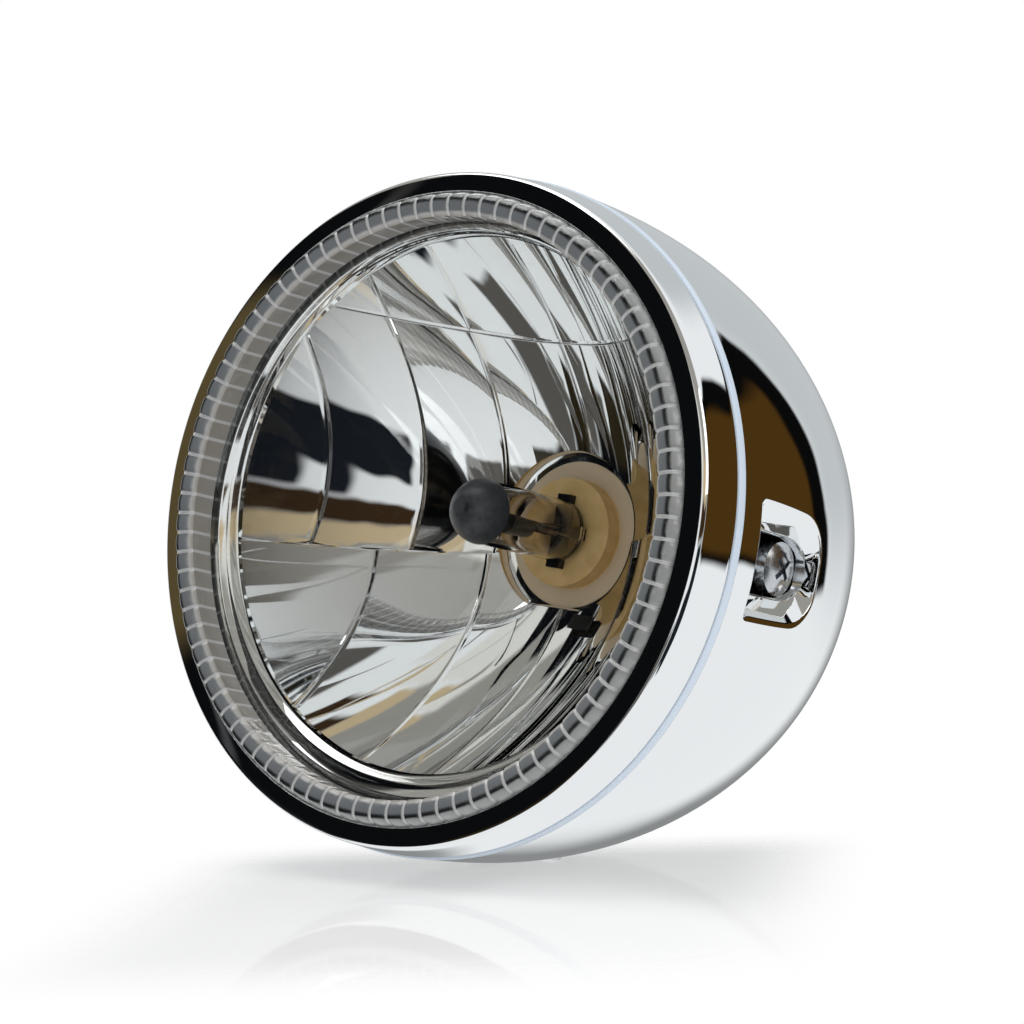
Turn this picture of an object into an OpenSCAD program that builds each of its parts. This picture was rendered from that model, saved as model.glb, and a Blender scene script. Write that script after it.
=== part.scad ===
// Round motorcycle headlight: bezel with a beaded light ring, clear lens, facetted
// reflector and twin-filament bulb in front, deep chromed bowl behind.
// The lens faces -Y, the bulb points along Y and +Z is up. The origin is the middle of
// the threaded seat under the bowl, where the lamp is bolted down.
// Depths are counted backwards from the front edge of the bezel.

/* [Bowl] */
// How far the bowl stands out past the bezel's front edge
bowl_over = 1.3; // [0.8:0.1:2]
// Depth at which the bowl is widest
bowl_widest_d = 17.9; // [16:0.1:22]
// Length of the domed part behind the widest ring
bowl_len = 122.5; // [112:0.5:140]
// Sheet thickness of the bowl
bowl_t = 1.2; // [0.8:0.1:2]
// Fullness of the bowl along its length
bowl_full = 2.3; // [2:0.05:2.6]
// Fullness of the bowl across its rear dome
bowl_round = 1.65; // [1.5:0.05:2]

/* [Bezel and seam] */
// Radius of the front edge of the bezel
bezel_r = 82.5; // [72:0.5:95]
// Depth of the rear edge of the bezel
bezel_d = 10.7; // [9.5:0.1:12]
// Sheet thickness of the bezel
bezel_t = 1; // [0.7:0.1:1.2]
// Width of the gasket that shows in the seam
seam_w = 2.8; // [2:0.1:3.5]

/* [Light ring and lens] */
// Number of beads round the light ring
bead_count = 92; // [72:2:110]
// Width of the bezel's face outside the beads
bezel_face = 5.6; // [5.2:0.1:7]
// Width of the beads
bead_w = 5.9; // [5:0.1:7.5]
// Height of the beads in front of the bezel's front edge
bead_proud = 5; // [4:0.1:6]
// Depth of the valleys between two beads
bead_valley = 1.2; // [0.6:0.1:1.8]
// Thickness of the lens
lens_t = 2.6; // [2:0.1:3.4]
// Rise of the lens in its middle
lens_dome = 2.6; // [1:0.1:4]
// Number of light-emitting diodes behind the ring
led_count = 12; // [6:1:24]

/* [Reflector] */
// Step from the light ring's inside in to the mirror's rim
mirror_step = 5; // [4.5:0.1:8]
// Wall of the reflector
mirror_t = 2.2; // [1.8:0.1:3]
// How much deeper the middle of a facet lies than its edges
facet_bulge = 0.7; // [0.3:0.05:1.2]
// Tilt of the lower facets about the bulb
lower_tilt = 11; // [5:0.5:15]

/* [Bulb] */
// Radius of the glass envelope
glass_r = 8; // [7.5:0.1:8.4]
// Radius of the bulb's front disc
disc_r = 19; // [18.5:0.1:19.4]
// Depth of the seat for the bulb's lugs
seat_d = 66.5; // [60:0.5:76]

/* [Side fixing] */
// Depth of the fixing screws
screw_d = 46; // [44:0.5:47]
// Radius of the screw shank
screw_r = 3; // [2.5:0.25:3]
// Radius of the screw head
head_r = 6.5; // [5.5:0.1:6.8]
// How deep the pocket's floor lies below the bowl's widest ring
pocket_deep = 15.3; // [12:0.1:15.5]
// Half height of the pocket at its mouth
pocket_half = 14.2; // [12:0.2:15]

/* [Bottom mount and cable outlet] */
// Depth of the bottom mount
mount_d = 55; // [45:1:65]
// Radius of the mount's thread
mount_r = 5; // [4:0.5:6]
// Depth of the mount's thread
mount_len = 14; // [10:1:18]
// Radius of the hole through the cable grommet
outlet_r = 6; // [4:0.5:8]

/* [Hidden] */
$fn = 120;

// Clearance between pieces that seat face to face
gap = 0.1;
// Clearance round screws, blades and pins
fit_gap = 0.3;
// Length that makes a cut run past the face it opens
over = 1;

bowl_r = bezel_r + bowl_over;
bead_outer_r = bezel_r - bezel_face;
bead_inner_r = bead_outer_r - bead_w;
mirror_r = bead_inner_r - mirror_step;
pocket_x = bowl_r - pocket_deep;
// Outer radius of the bowl at a depth behind its widest ring
function bowl_r_at(d) = bowl_r * pow(1 - pow((d - bowl_widest_d) / bowl_len, bowl_full), 1 / bowl_round);
// The mounting face lies just inside the bowl's skin, so that it is flat all over
axis_h = bowl_r_at(mount_d) - 0.9;

// The lamp lies with its axis along +Y, depths counted from the bezel's front edge
module place() {
  translate([0, -mount_d, axis_h]) children();
}

// A profile of [radius, depth] points turned about the lamp's axis
module turn(angle = 360) {
  rotate([-90, 0, 0]) rotate_extrude(angle = angle) children();
}

// A profile drawn in X and depth, of the given height, centred on the lamp's axis
module slab(height) {
  translate([0, 0, -height / 2]) linear_extrude(height) children();
}

// Both sides of the lamp
module both_sides() {
  children();
  mirror([1, 0, 0]) children();
}

// Bowl

seam_front_d = bezel_d + gap;
seam_back_d = seam_front_d + seam_w;
bowl_front_d = seam_back_d + gap;
bowl_front_r = bowl_r - 0.1;
bowl_end_d = bowl_widest_d + bowl_len;
outlet_pad_r = outlet_r + 9;

// Points of a bowl of radius r and length len, from its widest ring to the rear pole
function bowl_points(r, len) = [for (a = [0 : 5 : 90])
  [r * pow(max(cos(a), 0), 2 / bowl_round), bowl_widest_d + len * pow(sin(a), 2 / bowl_full)]];

module bowl_solid(inset, front_d) {
  turn() polygon(concat([[0, front_d], [bowl_front_r - inset, front_d]],
    bowl_points(bowl_r - inset, bowl_len - inset)));
}

// Pocket at three o'clock: splayed above and below, rounded behind
pocket_front_d = screw_d - 24.5;
pocket_back_d = screw_d + 7;
pocket_floor_half = pocket_half - 6.4;
pocket_mouth_x = bowl_r + over;
pocket_corner = 10;

module pocket(grow) {
  front = pocket_front_d - grow;
  back = pocket_back_d + grow;
  floor_x = pocket_x - grow;
  slope = (pocket_half - pocket_floor_half) / (bowl_r - pocket_x);
  floor_half = pocket_floor_half + grow;
  mouth_half = floor_half + slope * (pocket_mouth_x - floor_x);
  corner = pocket_corner + grow;
  mid_d = (front + back) / 2;
  intersection() {
    translate([0, back, 0]) rotate([90, 0, 0]) linear_extrude(back - front)
      polygon([[floor_x, -floor_half], [pocket_mouth_x, -mouth_half],
        [pocket_mouth_x, mouth_half], [floor_x, floor_half]]);
    translate([floor_x, 0, 0]) rotate([0, 90, 0]) linear_extrude(pocket_mouth_x - floor_x)
      union() {
        translate([-mouth_half, front]) square([2 * mouth_half, back - front - corner]);
        translate([corner - mouth_half, front])
          square([2 * (mouth_half - corner), back - front]);
        for (side = [-1, 1])
          translate([side * (mouth_half - corner), back - corner]) circle(corner);
      }
  }
}

mount_pad_r = 16;
mount_pad_t = 4;

module housing() {
  color("gainsboro") place() difference() {
    union() {
      difference() {
        bowl_solid(0, bowl_front_d);
        bowl_solid(bowl_t, bowl_front_d - over);
      }
      intersection() {
        bowl_solid(0, bowl_front_d);
        union() {
          both_sides() pocket(bowl_t);
          translate([0, mount_d, -axis_h]) cylinder(h = mount_pad_t, r = mount_pad_r);
          translate([0, bowl_end_d - 3 * bowl_t, 0]) rotate([-90, 0, 0])
            cylinder(h = 3 * bowl_t, r = outlet_pad_r);
        }
      }
    }
    both_sides() pocket(0);
    both_sides() translate([pocket_x - bowl_t - over, screw_d, 0]) rotate([0, 90, 0])
      cylinder(h = bowl_t + 2 * over, r = screw_r + fit_gap);
    translate([0, mount_d, -axis_h - 10]) cylinder(h = 10, r = mount_pad_r + over);
    translate([0, mount_d, -axis_h - over])
      cylinder(h = mount_pad_t + 2 * over, r = insert_r + gap);
    translate([0, bowl_end_d - bowl_t, 0]) rotate([-90, 0, 0])
      cylinder(h = 10, r = outlet_pad_r + over);
    translate([0, bowl_end_d - 6 * bowl_t, 0]) rotate([-90, 0, 0])
      cylinder(h = 6 * bowl_t + over, r = grommet_r);
  }
}

// Bezel and seam

bezel_back_r = bezel_r + 1.1;
bezel_lip_r = bead_outer_r + fit_gap;
hem_r = bezel_back_r - 3.4;
function bezel_inner_r(d) = bezel_r - 0.9 + (d - 1.8) * (bezel_back_r - bezel_r - 0.1) / (bezel_d - 2.8);

module bezel_ring() {
  color("silver") place() turn() polygon([
    [bezel_lip_r, -2.1], [bezel_r - 1.9, -1.5], [bezel_r - 0.8, -0.9], [bezel_r - 0.2, 0.2],
    [bezel_r + 0.1, 1.6], [bezel_back_r, bezel_d], [hem_r, bezel_d], [hem_r, bezel_d - bezel_t],
    [bezel_inner_r(bezel_d - bezel_t), bezel_d - bezel_t], [bezel_inner_r(1.8), 1.8],
    [bezel_r - 1.2, 0.9], [bezel_r - 2.2, -0.4], [bezel_lip_r, -1.1]]);
}

seam_r = bezel_back_r + 0.3;
skirt_out_r = bowl_front_r - bowl_t - gap;
skirt_in_r = skirt_out_r - 1.2;
skirt_len = 3.4;

module seam_gasket() {
  color("aliceblue") place() turn() polygon([
    [skirt_in_r, seam_front_d], [seam_r - 0.4, seam_front_d],
    [seam_r, (seam_front_d + seam_back_d) / 2], [seam_r - 0.4, seam_back_d],
    [skirt_out_r, seam_back_d], [skirt_out_r, seam_back_d + skirt_len],
    [skirt_in_r, seam_back_d + skirt_len]]);
}

// Beaded light ring: one closed loft, three sections to a bead

ring_back_d = 3.4;
ring_flange_r = bezel_r - 2.9;
bead_sections = 3;
ring_sections = bead_count * bead_sections;

// Share of a bead's height, from nought in the valley to one on the crown
function bead_lift(i) = i % bead_sections == 0 ? 0 : 1;

function ring_profile(lift) = [
  [bead_inner_r, ring_back_d],
  [bead_inner_r - 0.3 * lift, -bead_proud + bead_valley + 0.6 - 0.6 * lift],
  [bead_inner_r + 1, -bead_proud + bead_valley * (1 - lift) + 0.5],
  [bead_inner_r + 2.8, -bead_proud + bead_valley * (1 - lift)],
  [bead_outer_r - 1.1, -bead_proud + bead_valley * (1 - lift) + 0.8],
  [bead_outer_r - 0.5 + 0.5 * lift, -2.2 + 0.4 * (1 - lift)],
  [bead_outer_r - 0.5 + 0.5 * lift, -0.8],
  [ring_flange_r, -0.2],
  [ring_flange_r, ring_back_d]];

ring_points = len(ring_profile(0));

module bead_ring() {
  points = [for (i = [0 : ring_sections - 1])
    let (a = i * 360 / ring_sections, section = ring_profile(bead_lift(i)))
      for (p = section) [p[0] * sin(a), p[1], p[0] * cos(a)]];
  faces = [for (i = [0 : ring_sections - 1], j = [0 : ring_points - 1])
    let (a = i * ring_points, b = ((i + 1) % ring_sections) * ring_points, k = (j + 1) % ring_points)
      for (f = [[a + j, b + k, b + j], [a + j, a + k, b + k]]) f];
  color("white") place() polyhedron(points, faces);
}

// Lens, seal, diodes

lens_r = bead_inner_r + 2;
lens_front_d = ring_back_d + gap;
lens_back_d = lens_front_d + lens_t;
function dome_d(r) = lens_front_d - lens_dome * (1 - pow(min(r, bead_inner_r - 0.5) / (bead_inner_r - 0.5), 2));
dome_rs = [for (i = [0 : 10]) (bead_inner_r - 0.5) * i / 10];

module lens() {
  color("whitesmoke") place() turn() polygon(concat(
    [for (r = dome_rs) [r, dome_d(r)]],
    [[lens_r, lens_front_d], [lens_r, lens_back_d]],
    [for (i = [10 : -1 : 0]) [dome_rs[i], dome_d(dome_rs[i]) + lens_t]]));
}

led_h = 0.9;
board_t = 1;
board_d = ring_back_d + gap + led_h;
board_in_r = lens_r + 0.6;
board_out_r = board_in_r + 3.6;
flange_front_d = board_d + board_t + gap;
seal_in_r = board_out_r + 0.2;
seal_out_r = ring_flange_r - 0.2;

module lens_seal() {
  color("dimgray") place() turn() polygon([
    [seal_in_r, ring_back_d], [seal_out_r, ring_back_d],
    [seal_out_r, flange_front_d], [seal_in_r, flange_front_d]]);
}

module led_board() {
  color("darkgreen") place() turn() polygon([
    [board_in_r, board_d], [board_out_r, board_d],
    [board_out_r, board_d + board_t], [board_in_r, board_d + board_t]]);
}

module leds() {
  color("gold") place() for (i = [0 : led_count - 1]) rotate([0, (i + 0.5) * 360 / led_count, 0])
    translate([(board_in_r + board_out_r) / 2 - 0.7, board_d - led_h, -1.5]) cube([1.4, led_h, 3]);
}

// Reflector

optic_rise = 2.5;
seat_step_r = lens_r + 0.3;
opening_r = bead_inner_r - 1.4;
opening_d = lens_back_d + gap;
flange_back_d = flange_front_d + mirror_t;
bore_r = disc_r + 0.15;
neck_r = disc_r + 2.2;
boot_ring_r = disc_r + 17;
neck_back_d = seat_d - 2.3;
collar_r = neck_r + 5;
boot_ring_t = 2;

// Facet edges of the upper part, measured across the lamp
upper_edges = mirror_r * [-1.09, -0.826, -0.576, -0.311, 0.061, 0.432, 0.697, 1.09];
// Facet edges of the lower part, measured along its tilted row
lower_edges = mirror_r * [-1.333, -1.024, -0.688, -0.352, -0.015, 0.321, 0.658, 0.994, 1.333];
// Height of the ridge across the upper part
upper_row = 0.69 * mirror_r;
// Height at which the tilted row line crosses the middle
row_line = -0.0545 * mirror_r;
// Flats across one facet and rows along it
facet_cuts = 4;
field_front_d = -20;
half = 2 * mirror_r;
// Overlap of neighbouring cuts, so that no skin stays between them
lap = 0.05;

vertex_d = seat_d - 0.9;
mirror_rim_d = opening_d + 3.8;
focal = pow(mirror_r, 2) / (4 * (vertex_d - mirror_rim_d));

function mirror_depth(x, z) = max(vertex_d - (x * x + z * z) / (4 * focal), field_front_d + 5);
// From nought at both edges of a facet to one in its middle
function swell(u, a, b) = 1 - pow((2 * u - a - b) / (b - a), 2);

// Air in front of one facet, which is hollowed a little deeper than the paraboloid
module facet_cell(x0, x1, z0, z1, rows, arch) {
  xs = [for (i = [0 : facet_cuts]) x0 + (x1 - x0) * i / facet_cuts];
  zs = [for (j = [0 : rows]) z0 + (z1 - z0) * j / rows];
  deep = [for (x = xs, z = zs) [x, mirror_depth(x, z) + facet_bulge * swell(x, x0, x1)
    + arch * swell(z, z0, z1), z]];
  front = [for (x = [x0, x1], z = [z0, z1]) [x, field_front_d, z]];
  points = concat(deep, front);
  hull() polyhedron(points, [for (i = [0 : len(points) - 3]) [i, i + 1, i + 2]]);
}

module facet_columns(edges, z0, z1, rows, arch) {
  for (i = [0 : len(edges) - 2]) facet_cell(edges[i], edges[i + 1] + lap, z0, z1 + lap, rows, arch);
}

module mirror_cavity() {
  intersection() {
    translate([0, mirror_rim_d - lap, 0]) rotate([-90, 0, 0]) cylinder(h = vertex_d, r = mirror_r);
    union() {
      intersection() {
        union() {
          facet_columns(upper_edges, -mirror_r / 2, upper_row, 10, 0);
          facet_columns(upper_edges, upper_row, 1.1 * mirror_r, 4, facet_bulge);
        }
        rotate([0, -lower_tilt, 0]) translate([-half, -half, row_line]) cube(2 * half);
      }
      rotate([0, -lower_tilt, 0]) intersection() {
        facet_columns(lower_edges, -1.35 * mirror_r, mirror_r / 8, 14, 0);
        translate([-half, -half, row_line + lap - 2 * half]) cube(2 * half);
      }
    }
  }
}

back_cuts = 11;
back_front_d = mirror_rim_d + 2;
back_rear_d = vertex_d - 9.6;
back_points = [for (k = [0 : back_cuts]) let (d = back_front_d + (back_rear_d - back_front_d) * k / back_cuts)
  [sqrt(4 * focal * (vertex_d + mirror_t - d)) + 1, d]];
collar_front_d = vertex_d + mirror_t - pow(collar_r - 1, 2) / (4 * focal);
// The boot ring starts inside the mirror's wall
boot_ring_d = vertex_d + mirror_t - pow(boot_ring_r - 1, 2) / (4 * focal) - 1.5;

// Shelf under the bulb: its top keeps the opening flat below, its front is a small flat mirror
shelf_x0 = -11;
shelf_w = 28;
shelf_z = -disc_r - 0.4;
shelf_h = 12;
shelf_d = vertex_d - 12.6;
slot_x = 9;

module bulb_shelf() {
  difference() {
    translate([shelf_x0, shelf_d, shelf_z - shelf_h]) cube([shelf_w, vertex_d - shelf_d, shelf_h]);
    translate([slot_x, shelf_d - over, shelf_z - 3]) cube([2.4, 5 + over, 3 + over]);
    translate([slot_x + 3.6, shelf_d - over, shelf_z - 3]) cube([1.4, 5 + over, 3 + over]);
  }
}

module bulb_opening() {
  turn() polygon([[0, neck_back_d - over], [bore_r, neck_back_d - over], [bore_r, seat_d + over],
    [0, seat_d + over]]);
  intersection() {
    turn() polygon([[0, vertex_d - 26], [neck_r, vertex_d - 26], [neck_r, neck_back_d], [0, neck_back_d]]);
    translate([-half, 0, shelf_z - lap]) cube(2 * half);
  }
}

// Flange on the lamp's axis; mirror, collar and boot ring on the bulb's axis, a little higher
module reflector() {
  $fn = 72;
  color("gainsboro") place() difference() {
    union() {
      turn() polygon([[0, opening_d], [seat_step_r, opening_d], [seat_step_r, flange_front_d],
        [seal_out_r, flange_front_d], [seal_out_r, flange_back_d], [0, flange_back_d]]);
      translate([0, 0, optic_rise]) {
        turn() polygon(concat([[0, opening_d + over], [mirror_r + 4, opening_d + over], [mirror_r + 4, flange_back_d + 1]],
          back_points, [[collar_r, collar_front_d], [collar_r, seat_d], [0, seat_d]]));
        turn() polygon([[boot_ring_r - boot_ring_t, boot_ring_d], [boot_ring_r, boot_ring_d],
          [boot_ring_r, seat_d], [boot_ring_r - boot_ring_t, seat_d]]);
      }
    }
    translate([0, 0, optic_rise]) {
      difference() {
        mirror_cavity();
        bulb_shelf();
      }
      bulb_opening();
    }
    hull() {
      turn() translate([0, opening_d - over]) square([opening_r, over]);
      translate([0, 0, optic_rise]) turn() translate([0, mirror_rim_d - lap]) square([mirror_r + lap, 2 * lap]);
    }
  }
}

// Spring clips that hold the lens stack against the bezel

clip_count = 4;
clip_angle = 12;
clip_t = 0.6;

module retaining_clips() {
  color("lightsteelblue") place() for (i = [0 : clip_count - 1])
    rotate([0, i * 360 / clip_count + 45 - clip_angle / 2, 0]) turn(clip_angle) polygon([
      [lens_r + 2.6, flange_back_d], [seal_out_r - 0.6, flange_back_d],
      [hem_r + 0.6, bezel_d - bezel_t - clip_t], [hem_r + 1.7, bezel_d - bezel_t - clip_t],
      [hem_r + 1.7, bezel_d - bezel_t], [hem_r + 0.2, bezel_d - bezel_t],
      [seal_out_r - 1, flange_back_d + clip_t], [lens_r + 2.6, flange_back_d + clip_t]]);
}

// Bulb: twin-filament, three lugs, three blades

cup_r = disc_r - 5;
cup_d = seat_d - 7.1;
disc_front_d = seat_d - 2.5;
lug_t = 1.2;
lug_r = disc_r + 3.3;
lug_back_d = seat_d + lug_t;
tube_back_d = cup_d - 2.4;
cap_edge_d = seat_d - 41.2;
cap_t = 0.25;
glass_wall = 1;
pinch_half = glass_r - 1;
pinch_t = 3;
shell_r = disc_r - 3.5;
shell_t = 0.8;
shell_back_d = seat_d + 6.5;
insulator_r = shell_r - 2;
insulator_back_d = shell_back_d + 7;

// Everything on the bulb's own axis
module bulb_place() {
  place() translate([0, 0, optic_rise]) children();
}

module bulb_glass() {
  color("white") bulb_place() {
    difference() {
      union() {
        turn() difference() {
          union() {
            translate([0, cap_edge_d]) square([glass_r, tube_back_d - cap_edge_d]);
            intersection() {
              translate([0, cap_edge_d]) circle(glass_r);
              translate([0, cap_edge_d - glass_r]) square([glass_r, glass_r]);
            }
          }
          translate([-over, cap_edge_d]) square([glass_r - glass_wall + over, tube_back_d - cap_edge_d - 1]);
          translate([0, cap_edge_d]) circle(glass_r - glass_wall);
        }
        translate([-pinch_half, tube_back_d - 0.5, -pinch_t / 2])
          cube([2 * pinch_half, cup_d + 1.5 - tube_back_d, pinch_t]);
      }
    }
  }
}

module bulb_cap() {
  color("dimgray") bulb_place() turn() difference() {
    union() {
      intersection() {
        translate([0, cap_edge_d]) circle(glass_r + cap_t);
        translate([0, cap_edge_d - glass_r - over]) square(glass_r + over);
      }
      translate([0, cap_edge_d - glass_r - 1.6]) square([1.8, 2.2]);
    }
    translate([0, cap_edge_d]) circle(glass_r);
  }
}

clamp_t = cup_d - tube_back_d;
clamp_h = 2 * glass_r + 3;

// Slot round the pinch, from the given depth back
module pinch_slot(d, len) {
  translate([-pinch_half - gap, d, -pinch_t / 2 - gap]) cube([2 * pinch_half + 2 * gap, len, pinch_t + 2 * gap]);
}

module bulb_clamp() {
  color("black") bulb_place() difference() {
    translate([-2, cup_d - clamp_t, -clamp_h / 2]) cube([4, clamp_t, clamp_h]);
    pinch_slot(cup_d - clamp_t - over, clamp_t + 2 * over);
  }
}

shield_r = 4;
shield_front_d = seat_d - 33.5;
shield_back_d = shield_front_d + 9;

module bulb_shield() {
  color("silver") bulb_place() difference() {
    rotate([-90, 0, 0]) translate([0, 0, shield_front_d]) cylinder(h = shield_back_d - shield_front_d, r = shield_r);
    rotate([-90, 0, 0]) translate([0, 0, shield_front_d + 0.4])
      cylinder(h = shield_back_d - shield_front_d, r = shield_r - 0.4);
    translate([-shield_r - over, shield_front_d - over, 0.6])
      cube([2 * shield_r + 2 * over, shield_back_d - shield_front_d + 2 * over, shield_r]);
  }
}

filament_r = 0.6;
filament_len = 5;
low_d = shield_front_d + 4.5;
high_d = shield_back_d + 4;
wire_r = 0.35;
high_drop = 1.2;

module bulb_filaments() {
  color("gray") bulb_place() {
    translate([0, low_d - filament_len / 2, 0.6]) rotate([-90, 0, 0]) cylinder(h = filament_len, r = filament_r);
    translate([0, high_d - filament_len / 2, -high_drop]) rotate([-90, 0, 0])
      cylinder(h = filament_len, r = filament_r);
  }
}

// Lead wires from the pinch to the filaments and the shield
module bulb_supports() {
  pinch_d = tube_back_d - 1;
  color("gray") bulb_place() {
    for (x = [-4.2, 4.2]) translate([x, shield_back_d, -1]) rotate([-90, 0, 0])
      cylinder(h = pinch_d - shield_back_d, r = wire_r);
    translate([0, low_d + filament_len / 2, 0.6]) rotate([-90, 0, 0])
      cylinder(h = pinch_d - low_d - filament_len / 2, r = wire_r);
    translate([0, high_d + filament_len / 2, -high_drop]) rotate([-90, 0, 0])
      cylinder(h = pinch_d - high_d - filament_len / 2, r = wire_r);
  }
}

module bulb_flange() {
  color("goldenrod") bulb_place() difference() {
    union() {
      turn() polygon([[0, cup_d], [cup_r, cup_d], [cup_r, disc_front_d], [disc_r, disc_front_d],
        [disc_r, lug_back_d], [shell_r, lug_back_d], [shell_r, shell_back_d], [0, shell_back_d]]);
      for (a = [90, 210, 330]) rotate([0, -a, 0])
        translate([disc_r - 3, seat_d, a == 90 ? -4 : -2.5])
          cube([lug_r - disc_r + 3, lug_t, a == 90 ? 8 : 5]);
    }
    pinch_slot(cup_d - over, 3 + over);
    turn() polygon([[0, cup_d + shell_t], [cup_r - shell_t, cup_d + shell_t],
      [cup_r - shell_t, disc_front_d + shell_t], [shell_r - shell_t, disc_front_d + shell_t],
      [shell_r - shell_t, shell_back_d - shell_t], [insulator_r - 1, shell_back_d - shell_t],
      [insulator_r - 1, shell_back_d + over], [0, shell_back_d + over]]);
  }
}

module bulb_insulator() {
  color("sienna") bulb_place() turn() polygon([[0, shell_back_d], [insulator_r, shell_back_d],
    [insulator_r, insulator_back_d], [0, insulator_back_d]]);
}

blade_w = 0.58 * insulator_r;
blade_t = 0.8;
blade_len = 11;

blade_x = insulator_r - 6;

module blades(grow) {
  for (x = [-blade_x, blade_x]) translate([x - blade_t / 2 - grow, insulator_back_d, -blade_w / 2 - grow])
    cube([blade_t + 2 * grow, blade_len, blade_w + 2 * grow]);
  translate([-blade_w / 2 - grow, insulator_back_d, blade_x - blade_t / 2 - grow])
    cube([blade_w + 2 * grow, blade_len, blade_t + 2 * grow]);
}

module bulb_contacts() {
  color("silver") bulb_place() blades(0);
}

// Wire clip across the lugs, held by one screw to the collar

clip_wire_r = 0.8;
clip_x = disc_r - 1.4;
clip_low_z = -disc_r - 2;
clip_leg = disc_r + 8;
clip_wire_d = lug_back_d + clip_wire_r;

module bulb_clip() {
  color("silver") bulb_place() {
    for (x = [-clip_x, clip_x]) translate([x, clip_wire_d, clip_low_z]) cylinder(h = clip_leg, r = clip_wire_r);
    translate([-clip_x, clip_wire_d, clip_low_z]) rotate([0, 90, 0]) cylinder(h = 2 * clip_x, r = clip_wire_r);
    for (x = [-clip_x, clip_x]) translate([x, clip_wire_d, clip_low_z]) sphere(clip_wire_r);
    for (x = [-clip_x, clip_x]) translate([x, clip_wire_d, clip_low_z + clip_leg]) sphere(clip_wire_r);
  }
}

clip_screw_r = 1.5;

module clip_screw() {
  color("silver") bulb_place() translate([0, seat_d, clip_low_z - clip_wire_r - clip_screw_r]) rotate([-90, 0, 0]) {
    cylinder(h = 2.8, r = clip_screw_r);
    translate([0, 0, 2.8]) cylinder(h = 1.6, r = 3);
  }
}

boot_t = 2;
boot_front_d = seat_d - 8.5;
boot_face_d = shell_back_d - 0.5;
boot_back_d = insulator_back_d + gap;

module rubber_boot() {
  sleeve_r = boot_ring_r + gap;
  neck = insulator_r + gap;
  color("black") bulb_place() difference() {
    turn() polygon([[sleeve_r, boot_front_d], [sleeve_r + boot_t, boot_front_d],
      [sleeve_r + boot_t, boot_face_d + boot_t - 1], [sleeve_r + boot_t - 1, boot_face_d + boot_t],
      [neck + boot_t + 1.5, boot_face_d + boot_t], [neck + boot_t, boot_face_d + boot_t + 1.5],
      [neck + boot_t, boot_back_d + boot_t - 0.8], [neck + boot_t - 0.8, boot_back_d + boot_t],
      [0, boot_back_d + boot_t], [0, boot_back_d], [neck, boot_back_d], [neck, shell_back_d + gap],
      [shell_r + gap, shell_back_d + gap], [shell_r + gap, boot_face_d],
      [sleeve_r - 1, boot_face_d], [sleeve_r, boot_face_d - 1]]);
    blades(fit_gap / 2);
  }
}

// Side fixing

bracket_t = 2;
bracket_half = 7;
floor_in_x = pocket_x - bowl_t;
foot_t = 1.4;
foot_angle = 12;

foot_front_d = 2.5;
foot_back_d = bezel_d - 2.5;

module side_brackets() {
  foot_front = bezel_inner_r(foot_front_d) - gap / 2;
  foot_back = bezel_inner_r(foot_back_d) - gap / 2;
  color("dimgray") place() both_sides() difference() {
    union() {
      rotate([0, -foot_angle / 2, 0]) turn(foot_angle) polygon([[foot_front, foot_front_d], [foot_back, foot_back_d],
        [foot_back - foot_t, foot_back_d], [foot_front - foot_t, foot_front_d]]);
      slab(2 * bracket_half) polygon([[foot_back - foot_t, foot_back_d - 1.8], [foot_back - 0.6, foot_back_d],
        [hem_r - 0.9, foot_back_d + 1], [floor_in_x, pocket_front_d - bowl_t - 0.6], [floor_in_x, pocket_back_d],
        [floor_in_x - bracket_t, pocket_back_d],
        [floor_in_x - bracket_t, pocket_front_d - bowl_t - 1.6], [foot_back - foot_t, foot_back_d - 1.3]]);
    }
    translate([floor_in_x - bracket_t - over, screw_d, 0]) rotate([0, 90, 0])
      cylinder(h = bracket_t + 2 * over, r = screw_r + fit_gap);
  }
}

nut_t = 5;
nut_af = 2 * screw_r + 4;

module bracket_nuts() {
  color("silver") place() both_sides()
    translate([floor_in_x - bracket_t - nut_t, screw_d, 0]) rotate([0, 90, 0]) difference() {
      cylinder(h = nut_t, r = nut_af / sqrt(3), $fn = 6);
      translate([0, 0, -over]) cylinder(h = nut_t + 2 * over, r = screw_r + gap / 2);
    }
}

plate_t = 1.5;
plate_half = pocket_floor_half - 0.5;
plate_front_d = screw_d - 9.5;
plate_back_d = pocket_back_d - 0.2;
plate_corner = 2;
tooth = 2.2;

module side_plates() {
  color("black") place() both_sides() translate([pocket_x, 0, 0]) rotate([0, 90, 0])
    linear_extrude(plate_t) difference() {
      union() {
        translate([-plate_half, plate_front_d + plate_corner])
          square([2 * plate_half, plate_back_d - plate_front_d - 2 * plate_corner]);
        translate([plate_corner - plate_half, plate_front_d])
          square([2 * (plate_half - plate_corner), plate_back_d - plate_front_d]);
        for (z = [plate_corner - plate_half, plate_half - plate_corner],
            d = [plate_front_d + plate_corner, plate_back_d - plate_corner])
          translate([z, d]) circle(plate_corner);
      }
      translate([0, screw_d]) circle(screw_r + fit_gap);
      for (z = [-2 * tooth : 2 * tooth : 2 * tooth]) translate([z, plate_front_d])
        polygon([[-tooth / 2, -over], [tooth / 2, -over], [tooth / 2, 0.4], [0, 1.4], [-tooth / 2, 0.4]]);
    }
}

washer_t = 1.2;
washer_x = pocket_x + plate_t;

module lock_washers() {
  color("dimgray") place() both_sides() translate([washer_x, screw_d, 0]) rotate([0, 90, 0]) difference() {
    cylinder(h = washer_t, r = head_r - 0.9);
    translate([0, 0, -over]) cylinder(h = washer_t + 2 * over, r = screw_r + fit_gap);
    translate([0, -0.5, -over]) cube([head_r, 1, washer_t + 2 * over]);
  }
}

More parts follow.
